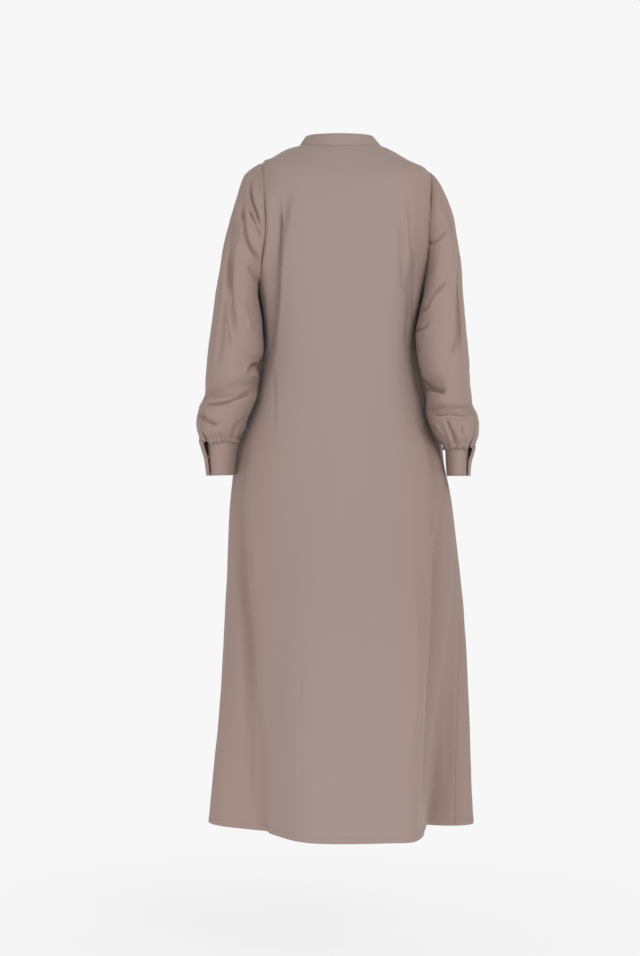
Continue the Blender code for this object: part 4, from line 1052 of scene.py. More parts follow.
def stitch_mesh(name, runs, pitch, length, radius, material):
    """Lines of stitches as one object. A run is (points on the cloth, its normals there)."""
    verts, faces = [], []
    for points, normals in runs:
        along = lengths_along(points)
        count = max(1, int(along[-1] / pitch))
        starts = (np.arange(count) + 0.5) * along[-1] / count - length / 2

        def at(values, where):
            return np.stack([np.interp(where, along, values[:, k]) for k in range(3)], -1)

        first, last = at(points, starts), at(points, starts + length)
        up = unit(at(normals, starts + length / 2))
        way = unit(last - first)
        side = np.cross(way, up)
        near_start = first + way * length * STITCH_TAPER
        near_end = last - way * length * STITCH_TAPER
        body = []
        for middle in (near_start, near_end):
            for s, u in STITCH_PROFILE:
                body.append(middle + side * s * radius + up * (u * radius + radius * STITCH_LIFT))
        tips = [first - up * radius * STITCH_SINK, last - up * radius * STITCH_SINK]
        stitch = np.stack(body + tips, 1)
        base = sum(len(v) for v in verts)
        verts.append(stitch.reshape(-1, 3))
        local = [(k, (k + 1) % 4, 4 + (k + 1) % 4, 4 + k) for k in range(4)]
        caps = [(8, (k + 1) % 4, k) for k in range(4)]
        caps += [(9, 4 + k, 4 + (k + 1) % 4) for k in range(4)]
        for i in range(count):
            start = base + 10 * i
            faces += [tuple(start + v for v in face) for face in local + caps]
    mesh = bpy.data.meshes.new(name)
    mesh.from_pydata(np.concatenate(verts).tolist(), [], faces)
    shape = bmesh.new()
    shape.from_mesh(mesh)
    bmesh.ops.recalc_face_normals(shape, faces=shape.faces)
    shape.to_mesh(mesh)
    shape.free()
    mesh.shade_smooth()
    return link(mesh, name, material)


def buttonhole_runs(centre, normal, way):
    """Short stitches on both sides of a buttonhole, and a bar at each of its ends."""
    side = np.cross(normal, way)
    half, half_width, pitch = BUTTONHOLE_LENGTH / 2, BUTTONHOLE_WIDTH / 2, BUTTONHOLE_PITCH
    lines = []
    for k in np.arange(-half, half + pitch / 2, pitch):
        for sign in (1, -1):
            out, on_slit = side * sign, centre + way * k
            lines.append((on_slit + out * BUTTONHOLE_SLIT, on_slit + out * half_width))
    for end in (1, -1):
        for k in (0.0, pitch, 2 * pitch):
            middle = centre + way * end * (half + k)
            lines.append((middle - side * half_width, middle + side * half_width))
    return [(np.array(line), np.array([normal, normal])) for line in lines]


# Materials


class Value:
    """A shader value. Sums and products of it add the Math nodes that work them out."""

    def __init__(self, recipe, socket):
        self.recipe, self.socket = recipe, socket

    def with_math(self, operation, first, second):
        node = self.recipe.add("ShaderNodeMath", {"operation": operation}, {0: first, 1: second})
        return Value(self.recipe, node.outputs[0])

    def __add__(self, other):
        return self.with_math("ADD", self, other)

    def __sub__(self, other):
        return self.with_math("SUBTRACT", self, other)

    def __mul__(self, other):
        return self.with_math("MULTIPLY", self, other)

    __radd__ = __add__


class Recipe:
    """One material and the nodes that are added to it."""

    def __init__(self, name, constants):
        self.material = bpy.data.materials.new(name)
        self.material.use_nodes = True
        self.tree = self.material.node_tree
        self.shader = self.tree.nodes["Principled BSDF"]
        for socket, value in constants.items():
            self.shader.inputs[socket].default_value = value
        self.place = self.add("ShaderNodeTexCoord").outputs["Object"]

    def add(self, kind, settings=None, inputs=None):
        """A node of a kind: its settings are set first, then its sockets get values or links."""
        node = self.tree.nodes.new(kind)
        for name, value in (settings or {}).items():
            setattr(node, name, value)
        for key, value in (inputs or {}).items():
            self.feed(node.inputs[key], value)
        return node

    def feed(self, socket, value):
        if isinstance(value, Value):
            value = value.socket
        if isinstance(value, bpy.types.NodeSocket):
            self.tree.links.new(value, socket)
        else:
            socket.default_value = value

    def stretched(self, x, y, z):
        """The object's coordinates, scaled along each axis."""
        inputs = {0: self.place, 1: (x, y, z)}
        return self.add("ShaderNodeVectorMath", {"operation": "MULTIPLY"}, inputs).outputs[0]

    def distance(self, x, y, z):
        """How far a place is from the origin, counting only the axes that are 1."""
        inputs = {0: self.stretched(x, y, z)}
        node = self.add("ShaderNodeVectorMath", {"operation": "LENGTH"}, inputs)
        return Value(self, node.outputs["Value"])

    def noise(self, place, size, detail=2.0, roughness=0.5):
        """A noise of 0 to 1 whose lumps are about that size, in metres."""
        inputs = {"Vector": place, "Scale": 1 / size, "Detail": detail, "Roughness": roughness}
        return Value(self, self.add("ShaderNodeTexNoise", {}, inputs).outputs[0])

    def ramp(self, value, low, high):
        """A value as 0 at low, 1 at high and smooth between."""
        node = self.add(
            "ShaderNodeMapRange", {"interpolation_type": "SMOOTHSTEP"},
            {"Value": value, "From Min": low, "From Max": high},
        )
        return Value(self, node.outputs[0])

    def blend(self, share, first, second, kind="MIX"):
        """Two colours mixed."""
        settings = {"data_type": "RGBA", "blend_type": kind}
        return self.add("ShaderNodeMix", settings, {0: share, 6: first, 7: second}).outputs[2]

    def bump(self, height, distance):
        """A normal turned by a height of 0 to 1, which is that distance high."""
        inputs = {"Height": height, "Distance": distance, "Strength": 1.0}
        return self.add("ShaderNodeBump", {}, inputs).outputs[0]

    def finish(self, **sockets):
        for name, value in sockets.items():
            self.feed(self.shader.inputs[name.replace("_", " ").title()], value)
        return self.material


def rgba(colour, share=1.0):
    return (*(min(1.0, c * share) for c in colour), 1.0)


def once(name, make):
    """A material by name, made if it isn't there yet."""
    return bpy.data.materials.get(name) or make(name)


def crepe(context):
    """Matte crepe: fine crinkles, faint slubs down the cloth, a slow random change of tone, a paler
    and greyer middle, and painted light that makes it paler towards the hem.
    """
    cloth = context.scene.abaya_cloth

    def make(name):
        recipe = Recipe(
            name,
            {"Sheen Weight": 0.20, "Sheen Roughness": 0.45, "Sheen Tint": (1.0, 0.94, 0.90, 1.0),
             "Specular IOR Level": 0.22, "Metallic": 0.0},
        )
        crinkle = recipe.noise(recipe.stretched(1, 1, 0.6), cloth.grain, 2.0, 0.6)
        slub = recipe.noise(recipe.stretched(1, 1, 0.06), cloth.grain * 1.6, 2.0, 0.5)
        patch = recipe.noise(recipe.stretched(1, 1, 0.45), 0.11, 2.0, 0.5)
        # The middle of the back and the front takes the pale crepe, blending to the plain crepe at
        # the sides.
        side = recipe.ramp(recipe.distance(1, 0, 0) + (patch - 0.5) * 0.07, 0.09, 0.19)
        colour = recipe.blend(side, rgba(cloth.pale_colour), rgba(cloth.colour))
        # Painted light: the crepe is painted up to 11% paler from 0.75 m below the neck down to the
        # hem, to stand in for the light that falls off lower down.
        paled = recipe.ramp(recipe.distance(0, 0, 1), 0.75, 1.30)
        # The cloth's random tone, plus the painted light towards the hem.
        tone_and_painted_light = 0.955 + patch * 0.05 + crinkle * 0.05 + slub * 0.03 + paled * 0.11
        colour = recipe.blend(1.0, colour, recipe.add(
            "ShaderNodeCombineColor", {}, {0: tone_and_painted_light, 1: tone_and_painted_light, 2: tone_and_painted_light}
        ).outputs[0], "MULTIPLY")
        height = crinkle * 0.65 + slub * 0.35
        return recipe.finish(
            base_color=colour,
            roughness=0.78 + crinkle * 0.12,
            normal=recipe.bump(height, CLOTH_BUMP),
        )

    return once("crepe", make)


def thread(context):
    stitches = context.scene.abaya_stitches

    def make(name):
        recipe = Recipe(name, {"Sheen Weight": 0.12, "Specular IOR Level": 0.3, "Metallic": 0.0})
        twist = recipe.noise(recipe.place, 0.0004, 1.0)
        colour = recipe.blend(twist, rgba(stitches.colour, 0.86), rgba(stitches.colour, 1.10))
        return recipe.finish(
            base_color=colour, roughness=0.6 + twist * 0.2, normal=recipe.bump(twist, THREAD_BUMP)
        )

    return once("thread", make)


def horn(context):
    buttons = context.scene.abaya_buttons

    def make(name):
        recipe = Recipe(name, {"Coat Roughness": 0.2, "Specular IOR Level": 0.5, "Metallic": 0.0})
        streak = recipe.noise(recipe.stretched(1, 1, 0.3), 0.0022, 3.0, 0.6)
        speck = recipe.noise(recipe.place, 0.0006, 2.0)
        colour = recipe.blend(
            recipe.ramp(streak, 0.35, 0.68), rgba(buttons.colour, 0.72), rgba(buttons.colour, 1.22)
        )
        return recipe.finish(
            base_color=colour,
            roughness=0.30 + speck * 0.14,
            coat_weight=0.25 + streak * 0.1,
            normal=recipe.bump(speck, HORN_BUMP),
        )

    return once("horn", make)


# Pieces


def body_rings(step):
    """The rings of the body's rows, closer together at the neck, the armholes and the hem."""
    yoke = np.linspace(0, SHOULDER_RING, 600)
    top = spaced(yoke, lengths_along(body_point(40.0, yoke)), YOKE_STEP, FINE_START)
    armhole = SHOULDER_RING + (UNDERARM_RING - SHOULDER_RING) * armhole_steps()
    below = np.linspace(UNDERARM_RING, LAST_BODY_RING, 2000)
    along = lengths_along(body_point(0.0, below))
    lower = spaced(below, along, step * ROW_STEP_SHARE, fine_end=FINE_HEM)
    return np.concatenate([top[:-1], armhole, lower[1:]])


def hem_angles(start, end, step, fine_start, fine_end):
    """Angles between two at the hem, a step apart along its cloth, and finer beside the seams."""
    fine = np.linspace(start, end, 1200)
    return spaced(fine, lengths_along(body_point(fine, LAST_BODY_RING)), step, fine_start, fine_end)


def centre_angle(rings, x):
    """How far from the centre front, in degrees, the front's wall is at that distance x."""
    return np.degrees(np.arcsin(x / spline(BODY["front"], rings)))


def seam_edge(points, normals, angle, rings, column):
    """Puts a body panel's edge column on its seam's groove, with the normals its neighbour has."""
    side = "left" if angle[0, column] > 0 else "right"
    shared = body_normal(angle[:, column], rings)
    hole = (rings > SHOULDER_RING) & (rings < UNDERARM_RING)
    shared[hole] = shared_armhole_normals(side, angle[hole, column], rings[hole])
    points[:, column] = body_point(angle[:, column], rings) - shared * SEAM_GROOVE_DEPTH
    normals[:, column] = shared


def shared_armhole_normals(side, angle, ring):
    """Halfway between the body's normals and the sleeve's, at places of an armhole."""
    down = (ring - SHOULDER_RING) / (UNDERARM_RING - SHOULDER_RING) * SLEEVE_TURN / 2
    column = np.where(np.abs(angle) <= 90, down, SLEEVE_TURN - down)
    return unit(body_normal(angle, ring) + sleeve_normal(side, column, np.zeros_like(column)))


def body_panel(name, angle, rings, seams, context):
    """One panel of the body with a folded hem, sewn to its neighbours at the columns in seams."""
    cloth = context.scene.abaya_cloth
    points, smooth = body_cloth(angle, rings[:, None], cloth.crease_strength)
    normals = grid_normals(points)
    normals *= np.sign((normals * smooth).sum())
    for column in seams:
        seam_edge(points, normals, angle, rings, column)
    hemmed = folded_hem(points, normals)
    below = grid_normals(hemmed)
    below *= np.sign((below[0] * normals[0]).sum())
    all_normals = np.concatenate([normals[:-1], below[len(normals) - 1 :]])
    return sew_wall(name, hemmed, all_normals, cloth.thickness / 2, crepe(context)), points, normals


def hem_run(points, normals, rings, thickness):
    """The line of stitches that holds a panel's hem."""
    above = (LAST_BODY_RING - rings) * HEM_RING_LENGTH
    row = int(np.abs(above - (HEM_WIDTH - HEM_STITCH_INSET)).argmin())
    return points[row] + normals[row] * thickness / 2, normals[row]


def stitched(name, runs, context, sizes=None):
    """Stitches in the settings' sizes, or in the given (pitch, length), on the only body."""
    stitches = context.scene.abaya_stitches
    pitch, length = sizes or (stitches.pitch, stitches.length)
    piece = stitch_mesh(name, runs, pitch, length, stitches.thread, thread(context))
    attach(piece, "root")
    return piece


def declare(piece, nodes):
    """Hangs a piece of cloth on the root body, and hides the CAD parts that it stands for."""
    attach(piece, "root")
    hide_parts(*nodes)


class ABAYA_OT_sew_back(bpy.types.Operator):
    """Sews the back, one panel from the neck to the hem"""

    bl_idname = "abaya.sew_back"
    bl_label = "Sew the back"

    def execute(self, context):
        cloth = context.scene.abaya_cloth
        rings = body_rings(cloth.body_step)
        share = hem_angles(-90, 90, cloth.body_step, FINE_START, FINE_START) / 90
        edges = {side: armhole_angle(side, "back", rings)[:, None] for side in SIDES}
        edge = np.where(share > 0, edges["left"], edges["right"])
        angle = 90 * share + (edge - 90) * share * np.abs(share)
        piece, points, normals = body_panel("back_panel", angle, rings, (0, -1), context)
        run = hem_run(points, normals, rings, cloth.thickness)
        hem = stitched("back_hem_stitches", [run], context)
        nodes = [f"back_{section}" for section in BODY_SECTIONS]
        declare(piece, nodes)
        return {"FINISHED"}


class ABAYA_OT_sew_fronts(bpy.types.Operator):
    """Sews the two fronts: the left runs on under the lap, the right ends under the band"""

    bl_idname = "abaya.sew_fronts"
    bl_label = "Sew the fronts"

    def execute(self, context):
        cloth = context.scene.abaya_cloth
        rings = body_rings(cloth.body_step)
        lap = np.linspace(-1, 1, UNDERLAP_COLUMNS)
        for side, sign in SIDES.items():
            share = (hem_angles(90, 180, cloth.body_step, FINE_START, (0.0,)) - 90) / 90
            edge = armhole_angle(side, "front", rings)[:, None]
            last_x = LAP if side == "left" else LAP - FRONT_UNDER_BAND
            near = 180 - centre_angle(rings, last_x)[:, None]
            angle = sign * (90 + (near - 90) * share + (edge - 90) * (1 - share) ** 2)
            if side == "left":
                under = 180 + centre_angle(rings, LAP - UNDERLAP_INSET)[:, None] * lap
                angle = np.concatenate([angle, under[:, 1:]], axis=1)
            piece, points, normals = body_panel(f"front_{side}_panel", angle, rings, (0,), context)
            run = hem_run(points, normals, rings, cloth.thickness)
            hem = stitched(f"front_{side}_hem_stitches", [run], context)
            nodes = [f"front_{side}_{section}" for section in BODY_SECTIONS]
            declare(piece, nodes)
        return {"FINISHED"}


def band_wall(name, points, outward, half, material, groove_edges):
    """A folded band: a wall with round edges, pulled in along its lines of stitches."""
    normals = grid_normals(points)
    normals *= np.sign((normals * outward).sum())
    away = edge_distances(points)
    near = np.minimum.reduce(list(away.values()))
    walls = rounded_half(near, half)
    stitched_near = np.minimum.reduce([away[edge] for edge in groove_edges])
    walls = walls - STITCH_PULL * bell(stitched_near - STITCH_INSET, STITCH_PULL_WIDTH)
    walls = np.maximum(walls, half * THINNEST_EDGE)
    return sew_wall(name, points, normals, walls, material), normals, away, walls


def inset_run(points, normals, walls, away, edge):
    """A line of stitches along one edge of a band, from near one of its ends to the other."""
    level = edge in ("top", "bottom")
    ends = ("first", "last") if level else ("top", "bottom")
    nearest = int(np.abs(away[edge].mean(int(level)) - STITCH_INSET).argmin())
    at = (nearest, slice(None)) if level else (slice(None), nearest)
    inside = (away[ends[0]][at] > STITCH_END_GAP) & (away[ends[1]][at] > STITCH_END_GAP)
    out = normals[at][inside]
    return points[at][inside] + out * walls[at][inside][:, None], out


class ABAYA_OT_sew_placket(bpy.types.Operator):
    """Sews the band down the centre front, with its stitching and buttonholes"""

    bl_idname = "abaya.sew_placket"
    bl_label = "Sew the front band"

    def execute(self, context):
        rings = body_rings(PLACKET_STEPS[1])
        across = places_along(2 * LAP, PLACKET_STEPS[0], ROUND_EDGE, ROUND_EDGE) / LAP - 1
        angle = 180 + centre_angle(rings, LAP)[:, None] * across
        ring = np.broadcast_to(rings[:, None], angle.shape)
        smooth = body_normal(angle, ring)
        points = body_point(angle, ring)
        points[0] += unit(points[4] - points[0]) * PLACKET_BELOW_COLLAR
        kept = np.r_[0, 3 : len(points)]
        points, smooth = points[kept], smooth[kept]
        loose = swelling(points, "placket")
        points = points + smooth * (PLACKET_RAISED + loose)[..., None]
        piece, normals, away, walls = band_wall(
            "front_band", points, smooth, PLACKET_HALF, crepe(context), ("first", "last")
        )
        runs = [inset_run(points, normals, walls, away, edge) for edge in ("first", "last")]
        pieces = [stitched("front_band_stitches", runs, context)]
        holes = []
        for point, normal in front_button_places():
            on_band = point + normal * (PLACKET_RAISED + PLACKET_HALF)
            way = unit(np.cross(np.cross(normal, [0.0, 0.0, 1.0]), normal))
            holes += buttonhole_runs(on_band, normal, way)
        pieces.append(stitched("front_buttonholes", holes, context, BUTTONHOLE_STITCHES))
        declare(piece, ["placket"])
        return {"FINISHED"}


def front_button_places():
    """The points of the smooth front behind each front button, and the normals there."""
    rings = np.linspace(0, LAST_BODY_RING, 600)
    heights = body_point(180.0, rings)[:, 2]
    for i in range(FRONT_BUTTONS):
        z = heights[0] - FIRST_BUTTON_BELOW_NECK - i * BUTTON_SPACING
        ring = np.interp(-z, -heights, rings)
        yield body_point(180.0, ring), body_normal(180.0, ring)


class ABAYA_OT_sew_collar(bpy.types.Operator):
    """Sews the band collar, whose right end laps over its left end at the centre front"""

    bl_idname = "abaya.sew_collar"
    bl_label = "Sew the collar"

    def execute(self, context):
        cloth = context.scene.abaya_cloth
        lap = float(centre_angle(np.zeros(1), LAP)[0])
        fine = np.linspace(-180 - lap, 180 + lap, 1500)
        along = lengths_along(collar_point(fine, 0.5))
        around = spaced(fine, along, COLLAR_STEPS[0], ROUND_EDGE, ROUND_EDGE)
        up = places_along(COLLAR_UP, COLLAR_STEPS[1], ROUND_EDGE, ROUND_EDGE)[::-1] / COLLAR_UP
        up = up * (1 + COLLAR_BELOW_SEAM) - COLLAR_BELOW_SEAM
        angle, up = np.meshgrid(around, up)
        seam = neck_normal(angle)
        points = collar_point(angle, up) + seam * collar_shift(angle)[..., None]
        points = points + seam * swelling(points, "collar")[..., None]
        piece, normals, away, walls = band_wall(
            "band_collar", points, seam, cloth.band_thickness / 2, crepe(context), ("top", "bottom")
        )
        runs = [inset_run(points, normals, walls, away, edge) for edge in away]
        stitches = stitched("collar_stitches", runs, context)
        declare(piece, ["collar"])
        return {"FINISHED"}


class ABAYA_OT_sew_sleeves(bpy.types.Operator):
    """Sews the two sleeves, eased into the armholes, gathered above the cuffs and slit"""

    bl_idname = "abaya.sew_sleeves"
    bl_label = "Sew the sleeves"

    def execute(self, context):
        for side in SIDES:
            self.sew(context, side)
        return {"FINISHED"}

    def rings(self, side, step):
        fine = np.linspace(0, LAST_SLEEVE_RING, 2500)
        lines = [lengths_along(sleeve_point(side, column, fine)) for column in MEASURED_COLUMNS]
        return spaced(fine, np.max(lines, axis=0), step, FINE_START, FINE_GATHERS)

    def columns(self, rings):
        """Columns on each ring: the body's rows at the armhole, and even ones further down."""
        steps = armhole_steps(SLEEVE_STEPS) * SLEEVE_TURN / 2
        seam = np.concatenate([steps, SLEEVE_TURN - steps[::-1][1:]])
        start = int(np.abs(seam - SLIT_COLUMN).argmin())
        seam = np.concatenate([seam[start:], seam[1 : start + 1] + SLEEVE_TURN])
        even = SLIT_COLUMN + np.linspace(0, SLEEVE_TURN, len(seam))
        column = seam + (even - seam) * smooth_step(rings / 3.0)[:, None]
        below = smooth_step((rings - SLIT_TOP_RING) / 2.2)[:, None]
        lapped = below * np.exp((column - column[:, -1:]) / SLIT_LAP_REACH)
        return column + SLIT_LAP * lapped

    def sew(self, context, side):
        cloth = context.scene.abaya_cloth
        rings = self.rings(side, cloth.sleeve_step)
        column = self.columns(rings)
        ring = np.broadcast_to(rings[:, None], column.shape)
        points, smooth = sleeve_point(side, column, ring), sleeve_normal(side, column, ring)
        relief = sleeve_relief(side, column, ring, points, smooth, cloth.crease_strength)
        points = points + smooth * relief[..., None]
        points = self.open_slit(side, column, rings, points, smooth)
        points = self.blouse_over_cuff(side, column, rings, points)
        closed = int((rings <= SLIT_TOP_RING).sum())
        points[:closed, -1] = points[:closed, 0]
        normals = grid_normals(points, closed)
        normals *= np.sign((normals * smooth).sum())
        angle, on_body = armhole_place(side, column[0])
        shared = shared_armhole_normals(side, angle, on_body)
        points[0] = body_point(angle, on_body) - shared * SEAM_GROOVE_DEPTH
        normals[0] = shared
        away = edge_distances(points)
        beside = np.minimum(away["first"], away["last"])
        slit = np.where(rings[:, None] > SLIT_TOP_RING, beside, 1.0)
        bound = smooth_step((slit - SLIT_BINDING) / SLIT_BINDING_FADE)
        half = cloth.thickness / 2 * (1 + SLIT_BOUND * (1 - bound))
        name = f"sleeve_{side}_cloth"
        piece = sew_wall(name, points, normals, half, crepe(context), closed)
        nodes = [f"sleeve_{side}_{section}" for section in SLEEVE_SECTIONS]
        declare(piece, nodes)

    def open_slit(self, side, column, rings, points, smooth):
        """Parts the slit's two edges, with the front one a step out over the back one."""
        share = ((rings - SLIT_TOP_RING) / (LAST_SLEEVE_RING - SLIT_TOP_RING)).clip(0, 1)[:, None]
        opened = np.where(share > 0, SLIT_START + (1 - SLIT_START) * share, 0.0) * SLIT_OPENING / 2
        turn = column * 360 / SLEEVE_TURN
        from_back, from_front = turn - turn[:, :1], turn[:, -1:] - turn
        along = unit(points[:, 2] - points[:, 0])[:, None]
        points = points + along * (opened * np.exp(-from_back / 6))[..., None]
        lifted = share * SLIT_STEP * bell(from_front, SLIT_EDGE_ANGLE)
        points = points + smooth * lifted[..., None]
        down = smooth_step((rings - FLARE_START_RING) / (LAST_SLEEVE_RING - FLARE_START_RING))
        held_in = 1 - SLIT_HELD * np.exp(-from_front / SLIT_EDGE_ANGLE)
        return points + flare(side, turn) * (down[:, None] * held_in)[..., None]

    def blouse_over_cuff(self, side, column, rings, points):
        """Brings the sleeve's end into the cuff's top, and lets the cloth above hang over it."""
        turn = column * 360 / SLEEVE_TURN
        target = cuff_point(side, turn, np.full_like(turn, CUFF_SEAM_DOWN))
        down = (rings - BLOUSE_START_RING) / (LAST_SLEEVE_RING - BLOUSE_START_RING)
        points = points + (target - points) * smooth_step(down)[:, None, None] ** 1.5
        out = unit(oval(side, column, np.full_like(turn, LAST_SLEEVE_RING))[1] * [1, 1, 0])
        from_slit = np.minimum(turn - turn[:, :1], (turn[:, -1:] - turn - 30) / 3)
        over = bump((rings - BLOUSE_RING) / BLOUSE_REACH)[:, None]
        over = over * smooth_step((from_slit - BLOUSE_SLIT_ANGLE) / BLOUSE_SLIT_FADE)
        uneven = BLOUSE_MEAN + BLOUSE_UNEVEN * swell(points * [1, 1, 0.1], 0.022, BLOUSE_SEEDS[0])
        strays = 2 * swell(points, 0.03, BLOUSE_SEEDS[1])
        ripple = np.cos(np.radians(turn) * BLOUSE_RIPPLES + strays)
        hang = (over * uneven + BLOUSE_RIPPLE * over * ripple)[..., None]
        return points + out * (BLOUSE_OUT * hang) - np.array([0, 0, 1]) * (BLOUSE_DOWN * hang)


class ABAYA_OT_sew_cuffs(bpy.types.Operator):
    """Sews the two cuffs, undone, with their stitching and buttonholes"""

    bl_idname = "abaya.sew_cuffs"
    bl_label = "Sew the cuffs"

    def execute(self, context):
        cloth = context.scene.abaya_cloth
        for side in SIDES:
            fine = np.linspace(CUFF_UNDER_ANGLE, CUFF_OVER_ANGLE + CUFF_LAP_ANGLE, 1200)
            along = lengths_along(cuff_point(side, fine, np.full_like(fine, 0.5)))
            around = spaced(fine, along, CUFF_STEPS[0], ROUND_EDGE, ROUND_EDGE)
            height = CUFF_HEIGHT[side]
            down = places_along(height, CUFF_STEPS[1], ROUND_EDGE, ROUND_EDGE) / height
            turn, down = np.meshgrid(around, down)
            points = cuff_point(side, turn, down)
            smooth = cuff_normal(side, turn, np.clip(down, 0.02, 0.98))
            points = points + smooth * swelling(points, f"cuff_{side}")[..., None]
            piece, normals, away, walls = band_wall(
                f"cuff_{side}_band", points, smooth, cloth.band_thickness / 2, crepe(context),
                ("top", "bottom", "first", "last"),
            )
            runs = [inset_run(points, normals, walls, away, edge) for edge in away]
            stitches = stitched(f"cuff_{side}_stitches", runs, context)
            turn = CUFF_OVER_ANGLE - CUFF_BUTTON_ANGLE
            at = (side, np.array([turn]), np.array([CUFF_BUTTON_DOWN]))
            middle, out = cuff_point(*at)[0], cuff_normal(*at)[0]
            way = unit(np.cross([0.0, 0.0, 1.0], out))
            hole = buttonhole_runs(middle + out * cloth.band_thickness / 2, out, way)
            holes = stitched(f"cuff_{side}_buttonhole", hole, context, BUTTONHOLE_STITCHES)
            declare(
                piece, [f"cuff_{side}"],
            )
        return {"FINISHED"}


class ABAYA_OT_sew_buttons(bpy.types.Operator):
    """Turns one four-holed button and sews it on down the front, on the collar and on the cuffs"""

    bl_idname = "abaya.sew_buttons"
    bl_label = "Sew the buttons on"

    def execute(self, context):
        pattern = self.turn_button(context)
        on_band = CAD_CLOTH * 1.5 + 2 * LAYER_GAP
        for i, (point, normal) in enumerate(front_button_places()):
            self.place(pattern, f"button_front_{i + 1}", point, normal, on_band)
        front = np.array([-180.0])
        on_collar = collar_point(front, 0.5) + neck_normal(front) * collar_shift(front)[:, None]
        on_band = CAD_BAND_CLOTH / 2 + LAYER_GAP
        self.place(pattern, "button_collar", on_collar[0], collar_normal(front)[0], on_band)
        for side in SIDES:
            at = (side, np.array([CUFF_BUTTON_ANGLE]), np.array([CUFF_BUTTON_DOWN]))
            point, normal = cuff_point(*at)[0], cuff_normal(*at)[0]
            self.place(pattern, f"button_cuff_{side}", point, normal, on_band)
        bpy.data.objects.remove(pattern)
        return {"FINISHED"}

    def turn_button(self, context):
        """A round button with a rolled rim, a dished middle, four holes and its thread."""
        settings = context.scene.abaya_buttons
        bpy.ops.object.select_all(action="DESELECT")
        button = self.cylinder(context, settings.sides, BUTTON_RADIUS, BUTTON_THICKNESS)
        button.name = "button_pattern"
        for inset, depth in BUTTON_TOP:
            self.inset_top(button, BUTTON_RADIUS * inset, depth)
        rounding = {"width": BUTTON_ROUNDING, "segments": 3, "angle_limit": 0.6}
        self.soften(button, "BEVEL", limit_method="ANGLE", **rounding)
        reach = settings.hole_reach / math.sqrt(2)
        corners = ((reach, reach), (-reach, reach), (-reach, -reach), (reach, -reach))
        hole = (HOLE_SIDES, settings.hole_radius, HOLE_CUTTER_LENGTH)
        cutters = [self.cylinder(context, *hole, (*at, 0)) for at in corners]
        for cutter in cutters:
            context.view_layer.objects.active = button
            self.soften(button, "BOOLEAN", object=cutter, operation="DIFFERENCE", solver="EXACT")
            bpy.data.objects.remove(cutter)
        button.data.materials.clear()
        button.data.materials.append(horn(context))
        parts = [button]
        for height, turned in THREAD_BARS:
            for y in (-reach, reach):
                bar = self.cylinder(context, 10, BAR_RADIUS, 2 * reach + BAR_OVERHANG)
                bar.data.transform(Matrix.Rotation(math.pi / 2, 4, "Y"))
                bar.data.transform(Matrix.Translation((0, y, height)))
                bar.data.transform(Matrix.Rotation(turned, 4, "Z"))
                self.soften(bar, "BEVEL", width=BAR_ROUNDING, segments=2)
                bar.data.materials.append(thread(context))
                parts.append(bar)
        shank = self.cylinder(context, 12, SHANK_RADIUS, SHANK_LENGTH)
        shank.data.transform(Matrix.Translation((0, 0, SHANK_HEIGHT)))
        shank.data.materials.append(thread(context))
        parts.append(shank)
        bpy.ops.object.select_all(action="DESELECT")
        for part in parts:
            part.select_set(True)
        context.view_layer.objects.active = button
        bpy.ops.object.join()
        bpy.ops.object.shade_smooth_by_angle(angle=math.radians(35))
        return button

    def cylinder(self, context, sides, radius, depth, place=(0, 0, 0)):
        bpy.ops.mesh.primitive_cylinder_add(
            vertices=sides, radius=radius, depth=depth, location=place
        )
        return context.active_object

    def inset_top(self, button, thickness, depth):
        """Insets the top face that is nearest the button's middle."""
        bpy.context.view_layer.objects.active = button
        bpy.ops.object.mode_set(mode="EDIT")
        bpy.ops.mesh.select_mode(type="FACE")
        bpy.ops.mesh.select_all(action="DESELECT")
        shape = bmesh.from_edit_mesh(button.data)
        middle = max(
            shape.faces,
            key=lambda face: face.normal.z - 400 * face.calc_center_median().xy.length,
        )
        middle.select = True
        bmesh.update_edit_mesh(button.data)
        bpy.ops.mesh.inset(thickness=thickness, depth=depth)
        bpy.ops.object.mode_set(mode="OBJECT")

    def soften(self, obj, kind, **settings):
        """Adds a modifier to an object and applies it."""
        bpy.context.view_layer.objects.active = obj
        modifier = obj.modifiers.new(kind.lower(), kind)
        for name, value in settings.items():
            setattr(modifier, name, value)
        bpy.ops.object.modifier_apply(modifier=modifier.name)

    def place(self, pattern, node, point, normal, gap):
        """A copy of the button, its back a gap above a wall's middle, facing along the normal."""
        mesh = pattern.data.copy()
        mesh.name = f"{node}_horn"
        z = np.array(normal, float)
        x = unit(np.cross([0.0, 0.0, 1.0], z))
        matrix = np.eye(4)
        matrix[:3, 0], matrix[:3, 1], matrix[:3, 2] = x, np.cross(z, x), z
        matrix[:3, 3] = np.array(point, float) + z * (gap + BUTTON_THICKNESS / 2)
        mesh.transform(Matrix(matrix.tolist()))
        piece = bpy.data.objects.new(mesh.name, mesh)
        bpy.context.scene.collection.objects.link(piece)
        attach(piece, "root")
        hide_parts(node)


